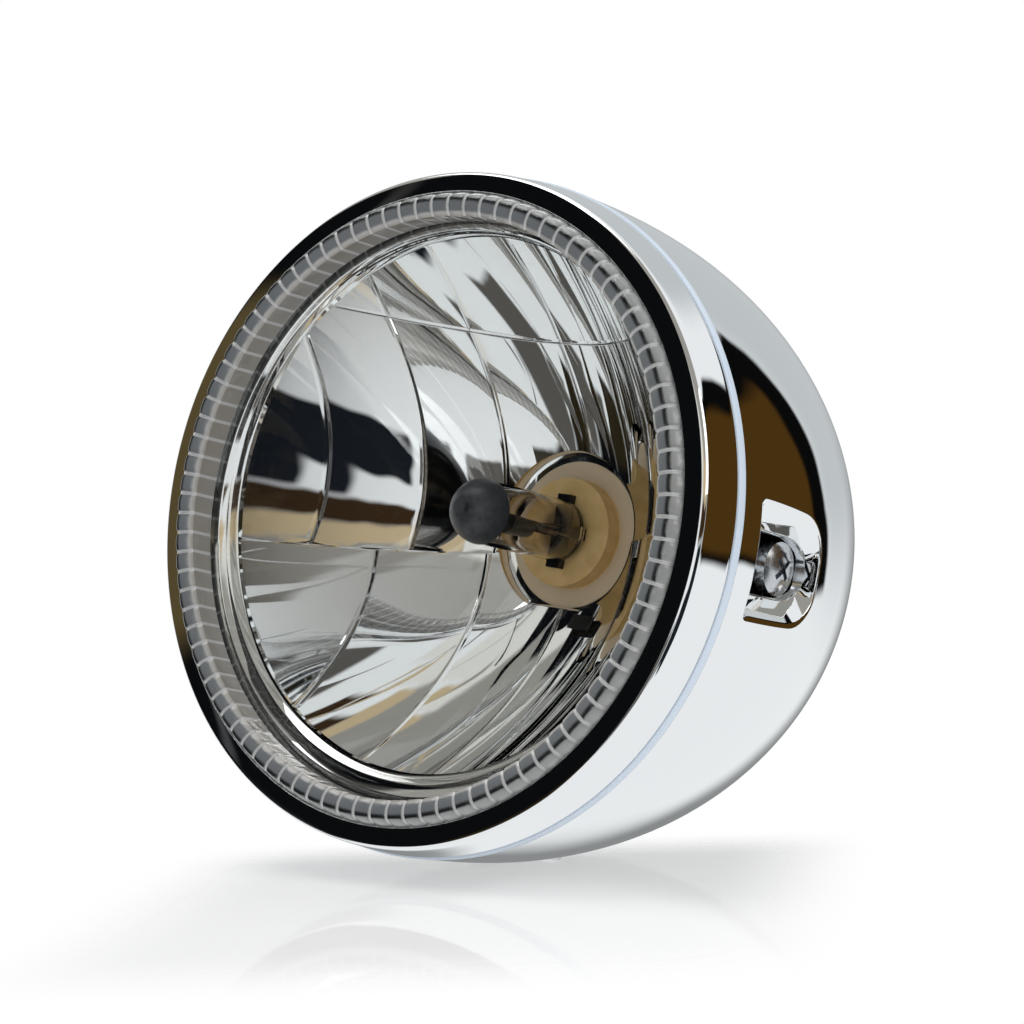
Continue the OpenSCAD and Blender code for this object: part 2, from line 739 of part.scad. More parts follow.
head_h = 4.2;
head_x = washer_x + washer_t;
screw_len = 15;
recess_w = 1.3;
recess_l = head_r - 0.1;

module side_screws() {
  crown = head_h - 1.4;
  color("silver") place() both_sides() translate([head_x, screw_d, 0]) rotate([0, 90, 0]) difference() {
    union() {
      translate([0, 0, -screw_len]) cylinder(h = screw_len, r = screw_r);
      rotate_extrude() intersection() {
        square([head_r, head_h]);
        translate([0, head_h - 2 * head_r * 1.3]) circle(2 * head_r * 1.3);
        union() {
          square([head_r, crown]);
          translate([0, crown]) square([head_r - 1.4, 1.4]);
          translate([head_r - 1.4, crown]) circle(1.4);
        }
      }
    }
    for (a = [0, 90]) rotate([0, 0, a + 45]) translate([-recess_l / 2, -recess_w / 2, head_h - 2.6])
      cube([recess_l, recess_w, 3]);
  }
}

// Bottom mount and cable outlet

insert_r = mount_r + 4;

module mount_insert() {
  color("silver") place() translate([0, mount_d, -axis_h]) difference() {
    union() {
      cylinder(h = mount_len, r = insert_r);
      translate([0, 0, mount_pad_t]) cylinder(h = 1.5, r = insert_r + 2.5);
    }
    translate([0, 0, -over]) cylinder(h = mount_len + 2 * over, r = mount_r);
  }
}

grommet_r = outlet_r + 3;
grommet_lip = 2.5;
grommet_lip_t = 2.5;

module cable_grommet() {
  wall_front = bowl_end_d - 3 * bowl_t;
  wall_back = bowl_end_d - bowl_t;
  waist = grommet_r - gap;
  color("black") place() turn() polygon([
    [outlet_r, wall_front - grommet_lip_t], [grommet_r + grommet_lip, wall_front - grommet_lip_t],
    [grommet_r + grommet_lip, wall_front], [waist, wall_front], [waist, wall_back],
    [grommet_r + grommet_lip, wall_back], [grommet_r + grommet_lip - 1, wall_back + grommet_lip_t],
    [outlet_r, wall_back + grommet_lip_t]]);
}

housing();
bezel_ring();
seam_gasket();
bead_ring();
lens();
lens_seal();
led_board();
leds();
reflector();
retaining_clips();
bulb_glass();
bulb_cap();
bulb_clamp();
bulb_shield();
bulb_filaments();
bulb_supports();
bulb_flange();
bulb_insulator();
bulb_contacts();
bulb_clip();
clip_screw();
rubber_boot();
side_brackets();
bracket_nuts();
side_plates();
lock_washers();
side_screws();
mount_insert();
cable_grommet();
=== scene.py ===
import math
import bmesh
import bpy
from mathutils import Matrix, Vector


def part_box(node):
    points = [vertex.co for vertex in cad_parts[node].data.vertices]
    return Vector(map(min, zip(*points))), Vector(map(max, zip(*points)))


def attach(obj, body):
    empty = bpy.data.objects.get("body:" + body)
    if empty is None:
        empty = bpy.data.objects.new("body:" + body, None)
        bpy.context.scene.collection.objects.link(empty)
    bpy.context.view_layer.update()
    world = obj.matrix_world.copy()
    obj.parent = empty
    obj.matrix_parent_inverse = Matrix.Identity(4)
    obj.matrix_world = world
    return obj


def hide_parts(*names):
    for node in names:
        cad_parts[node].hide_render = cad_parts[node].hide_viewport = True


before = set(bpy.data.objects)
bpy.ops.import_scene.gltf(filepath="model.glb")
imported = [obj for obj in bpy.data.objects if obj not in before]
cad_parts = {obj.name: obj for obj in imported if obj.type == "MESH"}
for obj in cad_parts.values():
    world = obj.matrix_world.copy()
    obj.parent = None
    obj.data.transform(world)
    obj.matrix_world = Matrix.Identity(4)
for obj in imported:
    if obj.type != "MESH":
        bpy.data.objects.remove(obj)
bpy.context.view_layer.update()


# Camera
# A long lens, low and to the right of the lamp. The lamp is turned a little about its own
# axis in the photograph, so the camera is rolled against it.
eye = Vector((0.4593, -0.6112, 0.0426))
looks_along = Vector((-0.6121, 0.7889, 0.0549)).normalized()
rough_up = Vector((-0.1068, -0.1513, 0.9827))
camera_right = looks_along.cross(rough_up).normalized()
camera_up = camera_right.cross(looks_along)
image_px, focal_px = 1024, 3000
camera_data = bpy.data.cameras.new("camera")
camera_data.sensor_width = 36
camera_data.lens = camera_data.sensor_width * focal_px / image_px
camera_data.clip_end = 50
camera = bpy.data.objects.new("camera", camera_data)
axes = Matrix((camera_right, camera_up, -looks_along)).transposed()
camera.matrix_world = Matrix.Translation(eye) @ axes.to_4x4()
bpy.context.scene.collection.objects.link(camera)
bpy.context.scene.camera = camera
bpy.context.scene.view_settings.view_transform = "Standard"


# Studio
# A white sweep under soft lamps. What chrome and mirror see beyond it is the room: a white
# table, dark furniture behind the camera, a window, a grey wall and a brown cupboard.
def linear(hex_colour):
    channels = [int(hex_colour[i:i + 2], 16) / 255 for i in (1, 3, 5)]
    curve = [c / 12.92 if c <= 0.04045 else ((c + 0.055) / 1.055) ** 2.4 for c in channels]
    return (*curve, 1)


def add_node(tree, kind, settings=None, inputs=None, links=None):
    node = tree.nodes.new(kind)
    for key, value in (settings or {}).items():
        setattr(node, key, value)
    for key, value in (inputs or {}).items():
        node.inputs[key].default_value = value
    for key, source in (links or {}).items():
        tree.links.new(source, node.inputs[key])
    return node


world = bpy.data.worlds.new("studio")
bpy.context.scene.world = world
world.use_nodes = True
tree = world.node_tree
tree.nodes.clear()
direction = add_node(tree, "ShaderNodeTexCoord").outputs["Generated"]
towards = add_node(tree, "ShaderNodeSeparateXYZ", links={"Vector": direction})
# Degrees round the lamp, 0 behind it and 90 on its right, and degrees above the horizon
turn_angle = add_node(tree, "ShaderNodeMath", {"operation": "ARCTAN2"},
                      links={0: towards.outputs["X"], 1: towards.outputs["Y"]})
rise_angle = add_node(tree, "ShaderNodeMath", {"operation": "ARCSINE"},
                      links={0: towards.outputs["Z"]})
# No edge in the room is quite straight: each wanders by a few degrees
wander = 7.0
ripple = add_node(tree, "ShaderNodeTexNoise", inputs={"Scale": 2.2, "Detail": 2.0},
                  links={"Vector": direction})
wobble = add_node(tree, "ShaderNodeMapRange", inputs={"To Min": -wander, "To Max": wander},
                  links={"Value": ripple.outputs["Fac"]})
bearings = []
for angle in (turn_angle, rise_angle):
    degrees = add_node(tree, "ShaderNodeMath", {"operation": "DEGREES"},
                       links={0: angle.outputs["Value"]})
    bearings.append(add_node(tree, "ShaderNodeMath", {"operation": "ADD"},
                             links={0: degrees.outputs["Value"], 1: wobble.outputs["Result"]}))
# Each thing in the room: its colour, its left and right bearing, its foot and top, its softness
room = add_node(tree, "ShaderNodeRGB")
room.outputs["Color"].default_value = linear("#f2f4f5")
seen = room.outputs["Color"]
for colour, left, right, low, high, soft in (
        ("#c4c8ca", -75, 8, 2, 60, 20), ("#8b8d8e", -62, -18, -26, 10, 18),
        ("#9d9a94", 66, 190, 22, 95, 8), ("#a9a6a0", -190, -60, 22, 95, 8),
        ("#c9b592", 66, 150, 14, 25, 4), ("#e6e4de", 152, 190, 5, 26, 5),
        ("#3a2a1a", 66, 141, 4, 15, 3), ("#1a1e24", 66, 135, -32, -9, 3),
        ("#1a1e24", 66, 113, -14, 3, 4), ("#5d5a56", 143, 178, -33, -12, 3),
        ("#0b0c0e", 172, 190, -12, 12, 4), ("#0b0c0e", -182, -126, -44, 44, 5),
        ("#0b0c0e", -128, -84, -46, 30, 6), ("#55492f", -126, -84, -9, 14, 4),
        ("#2b2416", -180, -150, -42, -22, 6), ("#0a0a0a", 4, 62, 0, 37, 2),
        ("#4a3312", 12, 64, 2, 31, 3)):
    cover = None
    for bearing, start, end in ((bearings[0], left, right), (bearings[1], low, high)):
        for edge, inward in ((start, soft / 2), (end, -soft / 2)):
            step = add_node(tree, "ShaderNodeMapRange", {"interpolation_type": "SMOOTHSTEP"},
                            {"From Min": edge - inward, "From Max": edge + inward},
                            {"Value": bearing.outputs["Value"]}).outputs["Result"]
            if cover is not None:
                step = add_node(tree, "ShaderNodeMath", {"operation": "MULTIPLY"},
                                links={0: cover, 1: step}).outputs["Value"]
            cover = step
    seen = add_node(tree, "ShaderNodeMix", {"data_type": "RGBA"}, {"B": linear(colour)},
                    {"Factor": cover, "A": seen}).outputs["Result"]
# The room shows only in what mirrors or bends light. The camera sees plain white, and matt
# surfaces are lit by a white a little below it.
paths = add_node(tree, "ShaderNodeLightPath")
mirrored = add_node(tree, "ShaderNodeMath", {"operation": "MAXIMUM"},
                    links={0: paths.outputs["Is Glossy Ray"], 1: paths.outputs["Is Transmission Ray"]})
plain = add_node(tree, "ShaderNodeMix", {"data_type": "RGBA"},
                 {"A": (0.88, 0.88, 0.88, 1), "B": (1, 1, 1, 1)},
                 {"Factor": paths.outputs["Is Camera Ray"]})
shown = add_node(tree, "ShaderNodeMix", {"data_type": "RGBA"}, None,
                 {"Factor": mirrored.outputs["Value"], "A": plain.outputs["Result"], "B": seen})
background = add_node(tree, "ShaderNodeBackground", None, None, {"Color": shown.outputs["Result"]})
add_node(tree, "ShaderNodeOutputWorld", None, None, {"Surface": background.outputs["Background"]})

# The lamp leans back on its bowl, so the floor lies tilted in the lamp's own frame
floor_up = Vector((-0.108, -0.19, 0.976)).normalized()
floor_reach, floor_gap = 8, 0.0002
shapes = [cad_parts[name] for name in ("housing", "bezel_ring", "seam_gasket")]
lowest = min(floor_up.dot(v.co) for shape in shapes for v in shape.data.vertices)
form = bmesh.new()
bmesh.ops.create_grid(form, x_segments=1, y_segments=1, size=floor_reach)
bmesh.ops.rotate(form, verts=form.verts, matrix=floor_up.to_track_quat("Z", "Y").to_matrix())
bmesh.ops.translate(form, verts=form.verts, vec=floor_up * (lowest - floor_gap))
floor_mesh = bpy.data.meshes.new("floor")
form.to_mesh(floor_mesh)
form.free()
floor = bpy.data.objects.new("floor", floor_mesh)
bpy.context.scene.collection.objects.link(floor)
board = bpy.data.materials.new("white_board")
board.use_nodes = True
tree = board.node_tree
tree.nodes.clear()
place = add_node(tree, "ShaderNodeTexCoord").outputs["Object"]
matt = add_node(tree, "ShaderNodeBsdfDiffuse", inputs={"Color": linear("#fbfbfb")})
polish = add_node(tree, "ShaderNodeBsdfAnisotropic", inputs={"Roughness": 0.035})
paths = add_node(tree, "ShaderNodeLightPath")
sheen = add_node(tree, "ShaderNodeMath", {"operation": "MULTIPLY"}, {1: 0.34},
                 {0: paths.outputs["Is Camera Ray"]})
top = add_node(tree, "ShaderNodeMixShader",
               links={"Fac": sheen.outputs["Value"], 1: matt.outputs["BSDF"], 2: polish.outputs["BSDF"]})
clear = add_node(tree, "ShaderNodeBsdfTransparent")
side = add_node(tree, "ShaderNodeNewGeometry").outputs["Backfacing"]
# Away from the lamp the board runs out into the white sweep, so that no horizon shows. The
# first way runs across the picture, the second towards the camera.
across, nearer = (0.87, 0.493, 0), (0.617, -0.787, 0)
present = None
for way, start, end in ((across, -0.085, -0.045), (across, 0.095, 0.055),
                        (nearer, 0.188, 0.13), (nearer, -0.03, 0.015)):
    reach = add_node(tree, "ShaderNodeVectorMath", {"operation": "DOT_PRODUCT"}, {1: way}, {0: place})
    step = add_node(tree, "ShaderNodeMapRange", {"interpolation_type": "SMOOTHSTEP"},
                    {"From Min": start, "From Max": end},
                    {"Value": reach.outputs["Value"]}).outputs["Result"]
    if present is not None:
        step = add_node(tree, "ShaderNodeMath", {"operation": "MULTIPLY"},
                        links={0: present, 1: step}).outputs["Value"]
    present = step
away = add_node(tree, "ShaderNodeMapRange", inputs={"To Min": 1.0, "To Max": 0.35},
                links={"Value": present})
hidden = add_node(tree, "ShaderNodeMath", {"operation": "MAXIMUM"},
                  links={0: side, 1: paths.outputs["Is Glossy Ray"]})
gone = add_node(tree, "ShaderNodeMath", {"operation": "MAXIMUM"},
                links={0: hidden.outputs["Value"], 1: away.outputs["Result"]})
both = add_node(tree, "ShaderNodeMixShader",
                links={"Fac": gone.outputs["Value"], 1: top.outputs["Shader"], 2: clear.outputs["BSDF"]})
add_node(tree, "ShaderNodeOutputMaterial", links={"Surface": both.outputs["Shader"]})
floor_mesh.materials.append(board)


lamp_middle = Vector((0, 0, 0.08))


def soft_lamp(name, place, size, power):
    lamp_data = bpy.data.lights.new(name, "AREA")
    lamp_data.size = size
    lamp_data.energy = power
    lamp = bpy.data.objects.new(name, lamp_data)
    aim = (lamp_middle - Vector(place)).to_track_quat("-Z", "Y")
    lamp.matrix_world = Matrix.Translation(place) @ aim.to_matrix().to_4x4()
    bpy.context.scene.collection.objects.link(lamp)


soft_lamp("overhead_lamp", (-0.6, -0.5, 1.6), 1.2, 9)
soft_lamp("side_lamp", (1.4, 0.3, 0.9), 0.8, 3)


# Bowl
# Deep bowl of 1.2 mm sheet steel, spun, with a pocket pressed into each side for the fixing
# screw, then nickel plated and chromed. The plating mirrors its surroundings almost unchanged.
mm = 0.001
bezel_low, bezel_high = (Vector(corner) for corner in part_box("bezel_ring"))
axis_z = (bezel_low.z + bezel_high.z) / 2
# Depths count back from the front edge of the bezel
bezel_len = 10.7
front_y = bezel_high.y - bezel_len * mm
bowl_r, widest_d, bowl_len, bowl_t = 83.8, 17.9, 122.5, 1.2
# The skin's section is an oval with one power for its radius and another for its depth
power_r, power_d = 1.65, 2.3
bowl_front_d, bowl_front_r = 13.7, 83.7
pole_d = widest_d + bowl_len
outlet_r, rear_flat_r = 9.0, 12.0


def at(r, d, turn=0.0, height=0.0):
    """A point r mm off the axis and d mm deep, turned up from +X, as metres in the frame."""
    up = r * math.sin(turn) + height
    return Vector((r * math.cos(turn) * mm, front_y + d * mm, axis_z + up * mm))


def bowl_point(a):
    """Radius and depth on the skin, from its widest place at 0 to the pole at a right angle."""
    return bowl_r * math.cos(a) ** (2 / power_r), widest_d + bowl_len * math.sin(a) ** (2 / power_d)


def bowl_normal(point):
    """Outward direction of the bowl's skin, from the two powers that shape it."""
    across = Vector((point.x, 0, point.z - axis_z)) / mm
    r, d = across.length, (point.y - front_y) / mm
    if d <= widest_d:
        return across.normalized()
    slope_r = power_r * (r / bowl_r) ** (power_r - 1) / bowl_r
    slope_d = power_d * ((d - widest_d) / bowl_len) ** (power_d - 1) / bowl_len
    return (across.normalized() * slope_r + Vector((0, slope_d, 0))).normalized()


def turned(form, outline, steps=192, closed=False):
    """Spins an outline of (radius, depth) points round the lamp's axis."""
    points = [form.verts.new(at(r, d)) for r, d in outline]
    edges = [form.edges.new(pair) for pair in zip(points, points[1:])]
    if closed:
        edges.append(form.edges.new((points[-1], points[0])))
    bmesh.ops.spin(form, geom=points + edges, cent=(0, 0, axis_z), axis=(0, 1, 0),
                   angle=math.tau, steps=steps, use_merge=True)
    bmesh.ops.remove_doubles(form, verts=form.verts, dist=1e-7)


def new_piece(name, form, material, replaced=(), smooth=40, facing=None):
    """Finishes a mesh: its faces outward, or for an open sheet towards a direction."""
    bmesh.ops.recalc_face_normals(form, faces=form.faces)
    if facing:
        away = [face for face in form.faces if face.normal.dot(facing) < 0]
        bmesh.ops.reverse_faces(form, faces=away)
    for face in form.faces:
        face.smooth = True
    mesh = bpy.data.meshes.new(name)
    form.to_mesh(mesh)
    form.free()
    mesh.set_sharp_from_angle(angle=math.radians(smooth))
    mesh.materials.append(material)
    piece = bpy.data.objects.new(name, mesh)
    bpy.context.scene.collection.objects.link(piece)
    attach(piece, "root")
    if replaced:
        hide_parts(*replaced)
    return piece


def new_material(name, base="#808080", metallic=0.0, roughness=0.4):
    material = bpy.data.materials.new(name)
    material.use_nodes = True
    shader = material.node_tree.nodes["Principled BSDF"]
    shader.inputs["Base Color"].default_value = linear(base)
    shader.inputs["Metallic"].default_value = metallic
    shader.inputs["Roughness"].default_value = roughness
    return material, material.node_tree, shader


chrome, tree, shader = new_material("bright_chrome_plate", "#f1f3f4", 1, 0.025)
surface = add_node(tree, "ShaderNodeTexCoord").outputs["Object"]
# Polishing leaves a waviness of a few centimetres, far too shallow to see but for what it mirrors
waves = add_node(tree, "ShaderNodeTexNoise", inputs={"Scale": 26.0, "Detail": 1.0},
                 links={"Vector": surface})
relief = add_node(tree, "ShaderNodeBump", inputs={"Strength": 0.10, "Distance": 0.6 * mm},
                  links={"Height": waves.outputs["Fac"]})
tree.links.new(relief.outputs["Normal"], shader.inputs["Normal"])

skin_steps, skin_cuts = 256, 60
form = bmesh.new()
skin_line = [bowl_point(math.pi / 2 * k / skin_cuts) for k in range(skin_cuts)]
turned(form, [(bowl_front_r, bowl_front_d)] + skin_line
       + [(rear_flat_r, pole_d - bowl_t), (outlet_r, pole_d - bowl_t)], skin_steps)
# Pocket: the skin is opened, and rolled edges, splayed walls and floor are lofted in
pocket_front, pocket_back, pocket_x = 21.5, 53.0, 68.5
floor_half, mouth_half = 7.8, 14.2
rear_corner, front_corner, point_gap = 10.0, 1.6, 1.6
edge_roll, margin = 1.3, 2.6
# Where the wall bends into the upright shaft, the share of the mouth's height that is left there
# and on the floor, the shaft's length, and how far forward the floor lies
knee_x, knee_share, floor_share, deep_reach, floor_shift = 76.4, 0.52, 0.48, 31.2, 0.3
slope = (mouth_half - floor_half) / (bowl_r - pocket_x)


def pocket_outline(half):
    """Outline of the pocket in (depth, height): almost square in front, rounded behind."""
    points = []
    for end, out, up, radius, cuts in (
            (pocket_back, 1, 1, rear_corner, 8), (pocket_back, 1, -1, rear_corner, 8),
            (pocket_front, -1, -1, front_corner, 4), (pocket_front, -1, 1, front_corner, 4)):
        for k in range(cuts + 1):
            a = math.pi / 2 * (k if out == up else cuts - k) / cuts
            points.append((end + out * radius * (math.sin(a) - 1), up * (half + radius * (math.cos(a) - 1))))
    loop = []
    for (d0, z0), (d1, z1) in zip(points, points[1:] + points[:1]):
        pieces = max(1, round(math.hypot(d1 - d0, z1 - z0) / point_gap))
        loop += [(d0 + (d1 - d0) * k / pieces, z0 + (z1 - z0) * k / pieces) for k in range(pieces)]
    return loop


def skin_radius(d):
    return bowl_r * (1 - (max(d - widest_d, 0) / bowl_len) ** power_d) ** (1 / power_r)


def on_skin(d, z, side):
    x = math.sqrt(skin_radius(d) ** 2 - z * z)
    return Vector((side * x * mm, front_y + d * mm, axis_z + z * mm))


def between(first, second, share):
    return [a.lerp(b, share) for a, b in zip(first, second)]


def loop_edges(form, points):
    return [form.edges.new(pair) for pair in zip(points, points[1:] + points[:1])]


def add_strips(form, rows):
    """Fills the strips between closed rows of points."""
    for first, second in zip(rows, rows[1:]):
        for k in range(len(first)):
            form.faces.new((first[k - 1], first[k], second[k], second[k - 1]))


def set_in(form, opening, rows):
    """Joins the first closed row of points to the edges of an opening, and each row to the next."""
    bmesh.ops.bridge_loops(form, edges=opening + loop_edges(form, rows[0]))
    add_strips(form, rows)


outline_half, pocket_middle = mouth_half - 0.4, (pocket_front + pocket_back) / 2
# What the roll adds to the outline, as a share of a point's distance from the pocket's middle
half_length, half_height = 16, 13
grow_d, grow_z = edge_roll * 0.9 / half_length, edge_roll / half_height
for side in (1, -1):
    opened = []
    for face in form.faces:
        middle = face.calc_center_median()
        d, z = (middle.y - front_y) / mm, (middle.z - axis_z) / mm
        if (side * middle.x > 0 and abs(z) < mouth_half + margin + edge_roll
                and pocket_front - margin - edge_roll < d < pocket_back + margin + edge_roll):
            opened.append(face)
    bmesh.ops.delete(form, geom=opened, context="FACES")
    # Only the pocket's new edge lies this far out and behind the bowl's front edge
    ring = [edge for edge in form.edges if edge.is_boundary and side * edge.verts[0].co.x > 40 * mm
            and (edge.verts[0].co.y - front_y) / mm > bowl_front_d + 1]
    mouth = pocket_outline(outline_half)
    wide, lip, knee, floor_loop = [], [], [], []
    # The walls lean out at 45 degrees near the mouth and stand upright round the screw
    for d, z in mouth:
        half_here = floor_half + slope * (math.sqrt(skin_radius(d) ** 2 - z * z) - pocket_x)
        rim_z = z * half_here / outline_half
        lip.append(on_skin(d, rim_z, side))
        wide.append(on_skin(d + (d - pocket_middle) * grow_d, rim_z * (1 + grow_z), side))
        deep_d = pocket_front + (d - pocket_front) / (pocket_back - pocket_front) * deep_reach
        knee.append(Vector((side * knee_x * mm, front_y + deep_d * mm, axis_z + z * knee_share * mm)))
        floor_loop.append(Vector((side * pocket_x * mm, front_y + (deep_d - floor_shift) * mm,
                                  axis_z + z * floor_share * mm)))
    centre = [sum(floor_loop, Vector()) / len(floor_loop)] * len(floor_loop)
    # Each bend is three loops: the wall leaves the first, turns at the second, ends at the third
    edge_bend = (wide, lip, between(lip, knee, 0.12))
    halfway = [between(lip, knee, 0.5)] * 3
    knee_bend = (between(lip, knee, 0.88), knee, between(knee, floor_loop, 0.2))
    floor_bend = (between(knee, floor_loop, 0.8), floor_loop, between(floor_loop, centre, 0.12))
    rows = []
    for bend, cuts in ((edge_bend, 6), (halfway, 0), (knee_bend, 6), (floor_bend, 4)):
        for k in range(cuts + 1):
            t = k / max(1, cuts)
            rows.append([form.verts.new(a * (1 - t) ** 2 + b * 2 * t * (1 - t) + c * t * t)
                         for a, b, c in zip(*bend)])
    set_in(form, ring, rows)
    form.faces.new(rows[-1])
# Bottom seat: the skin is opened, and a flat seat for the bracket is set in round the bush
seat_r, bush_r, seat_steps, foot_z = 16.0, 9.1, 96, 20 * mm
opened = [face for face in form.faces if face.calc_center_median().z < foot_z
          and math.hypot(*face.calc_center_median()[:2]) < (seat_r + margin) * mm]
bmesh.ops.delete(form, geom=opened, context="FACES")
ring = [edge for edge in form.edges if edge.is_boundary and edge.verts[0].co.z < foot_z
        and math.hypot(*edge.verts[0].co[:2]) < 2 * seat_r * mm]
rows = []
# Radius of each row, its height over the seat, and how far it follows the skin, from 0 to 1
for radius, height, level in (
        (seat_r + 1.2, 0, 1), (seat_r + 0.7, 0, 1), (seat_r + 0.3, 0, 0.9), (seat_r, 0, 0.7),
        (seat_r, 0, 0.15), (seat_r - 0.3, 0, 0), (bush_r + 0.5, 0, 0), (bush_r, 0.5, 0), (bush_r, 4, 0)):
    row = []
    for k in range(seat_steps):
        turn = math.tau * k / seat_steps
        x, y = radius * math.cos(turn), radius * math.sin(turn)
        skin_z = axis_z / mm - math.sqrt(skin_radius(y - front_y / mm) ** 2 - x * x)
        row.append(form.verts.new((x * mm, y * mm, (skin_z * level + height) * mm)))
    rows.append(row)
set_in(form, ring, rows)
bowl = new_piece("chromed_bowl", form, chrome, ("housing",), 50)
# Points of the pressed skin are shaded by its true slope, so that it mirrors without facets
unshaded = Vector((0, 0, 0))
skin_play, pole_clear = 0.05, 3
skin_normals = []
for v in bowl.data.vertices:
    d, x, z = (v.co.y - front_y) / mm, v.co.x / mm, (v.co.z - axis_z) / mm
    off_skin = abs(math.hypot(x, z) - skin_radius(min(d, pole_d - 0.01)))
    on_bowl = off_skin < skin_play and d < pole_d - pole_clear
    skin_normals.append(bowl_normal(v.co) if on_bowl else unshaded)
bowl.data.normals_split_custom_set_from_vertices(skin_normals)

# Side plates
# Black lacquered sheet steel with a toothed front end, under the head of each fixing screw. It
# keeps the bracket behind the pocket from turning when the screw is pulled tight.
plate_t, plate_gap, screw_d = 1.4, 0.05, 46.0
# The plate's outline in (depth, height) from the screw's axis
plate_outline = [
    (-9.5, -4.4), (-9.0, -5.4), (-8.0, -6.2), (-1.0, -6.2), (3.0, -4.6), (4.6, -2.4), (5.2, 0.0),
    (4.6, 2.4), (3.0, 4.6), (-1.0, 6.2), (-8.0, 6.2), (-9.0, 5.4), (-9.5, 4.4), (-9.5, 1.6),
    (-8.4, 1.0), (-8.4, -1.0), (-9.5, -1.6)]
lacquer = new_material("black_lacquer", "#0b0b0c", 0, 0.28)[0]


def thicken(form, way, edge_radius):
    """Gives a flat sheet its thickness along a way, and rounds its edges."""
    raised = bmesh.ops.extrude_face_region(form, geom=form.faces[:])["geom"]
    bmesh.ops.translate(form, verts=[v for v in raised if isinstance(v, bmesh.types.BMVert)], vec=way)
    bmesh.ops.bevel(form, geom=form.edges[:], offset=edge_radius, segments=2, affect="EDGES",
                    profile=0.5, material=-1)


for side, name in ((1, "side_plate_right"), (-1, "side_plate_left")):
    form = bmesh.new()
    x = side * (pocket_x + plate_gap) * mm
    places = [(x, front_y + (screw_d + d) * mm, axis_z + z * mm) for d, z in plate_outline]
    form.faces.new([form.verts.new(place) for place in places])
    thicken(form, (side * plate_t * mm, 0, 0), 0.25 * mm)
    new_piece(name, form, lacquer, ("side_plates",), 30)

# Bezel
# Ring of chromed sheet steel, rolled over in front and hemmed behind. Spring clips press the
# lens unit against its front lip from inside.
form = bmesh.new()
turned(form, [
    (77.2, -1.1), (77.2, -1.95), (77.35, -2.07), (77.6, -2.03), (79.5, -1.67), (81.0, -1.38),
    (81.4, -1.3), (81.8, -1.12), (82.1, -0.8), (82.3, -0.35), (82.45, 0.3), (82.55, 1.0),
    (82.63, 1.8), (83.0, 5.0), (83.45, 9.6), (83.58, 10.3), (83.45, 10.7), (80.2, 10.7),
    (80.2, 9.7), (82.4, 9.7), (81.6, 1.8), (81.3, 0.9), (80.3, -0.4)], 256, closed=True)
new_piece("chromed_bezel", form, chrome, ("bezel_ring",), 35)

# Seam gasket
# Pale silicone, moulded, slightly translucent, squeezed between bezel and bowl. Its skirt
# reaches in behind the bowl's front edge.
silicone = new_material("translucent_silicone", "#cfdcea", 0, 0.32)[0]
form = bmesh.new()
turned(form, [(81.2, 10.8), (83.5, 10.75), (83.8, 10.9), (83.9, 11.2), (83.9, 13.2), (83.8, 13.5),
              (83.5, 13.65), (82.4, 13.6), (82.4, 17.0), (81.2, 17.0)], closed=True)
new_piece("seam_stripe", form, silicone, ("seam_gasket",))

# Light ring
# Clear polycarbonate, injection moulded. Its crown is 92 cushions with sharp valleys, which the
# diodes behind light from inside. Unlit, each cushion shows the room upside down.
bead_count, bead_inner, bead_outer, flange_outer = 92, 71.0, 76.9, 79.6
bead_proud, ring_back = 5.0, 3.4
fluted, tree, shader = new_material("fluted_polycarbonate", "#b9bab8", 0, 0.05)
shader.inputs["Transmission Weight"].default_value = 0.45
shader.inputs["IOR"].default_value = 1.58
place = add_node(tree, "ShaderNodeTexCoord").outputs["Object"]
centred = add_node(tree, "ShaderNodeMapping", inputs={"Location": (0, 0, -axis_z)},
                   links={"Vector": place})
parts = add_node(tree, "ShaderNodeSeparateXYZ", links={"Vector": centred.outputs["Vector"]})
flat = add_node(tree, "ShaderNodeCombineXYZ", links={"X": parts.outputs["X"], "Y": parts.outputs["Z"]})
reach = add_node(tree, "ShaderNodeVectorMath", {"operation": "LENGTH"}, links={0: flat.outputs["Vector"]})
turn = add_node(tree, "ShaderNodeMath", {"operation": "ARCTAN2"},
                links={0: parts.outputs["Z"], 1: parts.outputs["X"]})
count = add_node(tree, "ShaderNodeMath", {"operation": "MULTIPLY"}, {1: bead_count / math.tau},
                 {0: turn.outputs["Value"]})
# From 0 in a valley between two cushions to 0.5 on a crown
lobe = add_node(tree, "ShaderNodeMath", {"operation": "PINGPONG"}, {1: 0.5}, {0: count.outputs["Value"]})
valley_highlight = add_node(tree, "ShaderNodeMapRange", {"interpolation_type": "SMOOTHSTEP"},
                  {"From Min": 0.11, "From Max": 0.05}, {"Value": lobe.outputs["Value"]})
# Painted light and shade across the ring, for what the clear plastic shows: a light inner lip, a grey
# body, a dark line of painted shade where the flank turns the light away, and a light outer lip
bands = add_node(tree, "ShaderNodeMapRange", inputs={"From Min": 70.5 * mm, "From Max": 77.5 * mm},
                 links={"Value": reach.outputs["Value"]})
painted_ring_tones = add_node(tree, "ShaderNodeValToRGB", links={"Fac": bands.outputs["Result"]})
stops = painted_ring_tones.color_ramp.elements
stops[0].color = linear("#b5aea4")
stops[1].color = linear("#d9dbda")
for position, tone in ((0.14, "#d6d6d2"), (0.22, "#8d9194"), (0.5, "#83888b"), (0.60, "#2a2b2d"),
                       (0.66, "#1f2022"), (0.72, "#a9acac")):
    stops.new(position).color = linear(tone)
# Each valley between two cushions gets a painted white highlight over these tones
shade = add_node(tree, "ShaderNodeMix", {"data_type": "RGBA"}, {"B": linear("#fafbfb")},
                 {"Factor": valley_highlight.outputs["Result"], "A": painted_ring_tones.outputs["Color"]})
tree.links.new(shade.outputs["Result"], shader.inputs["Base Color"])
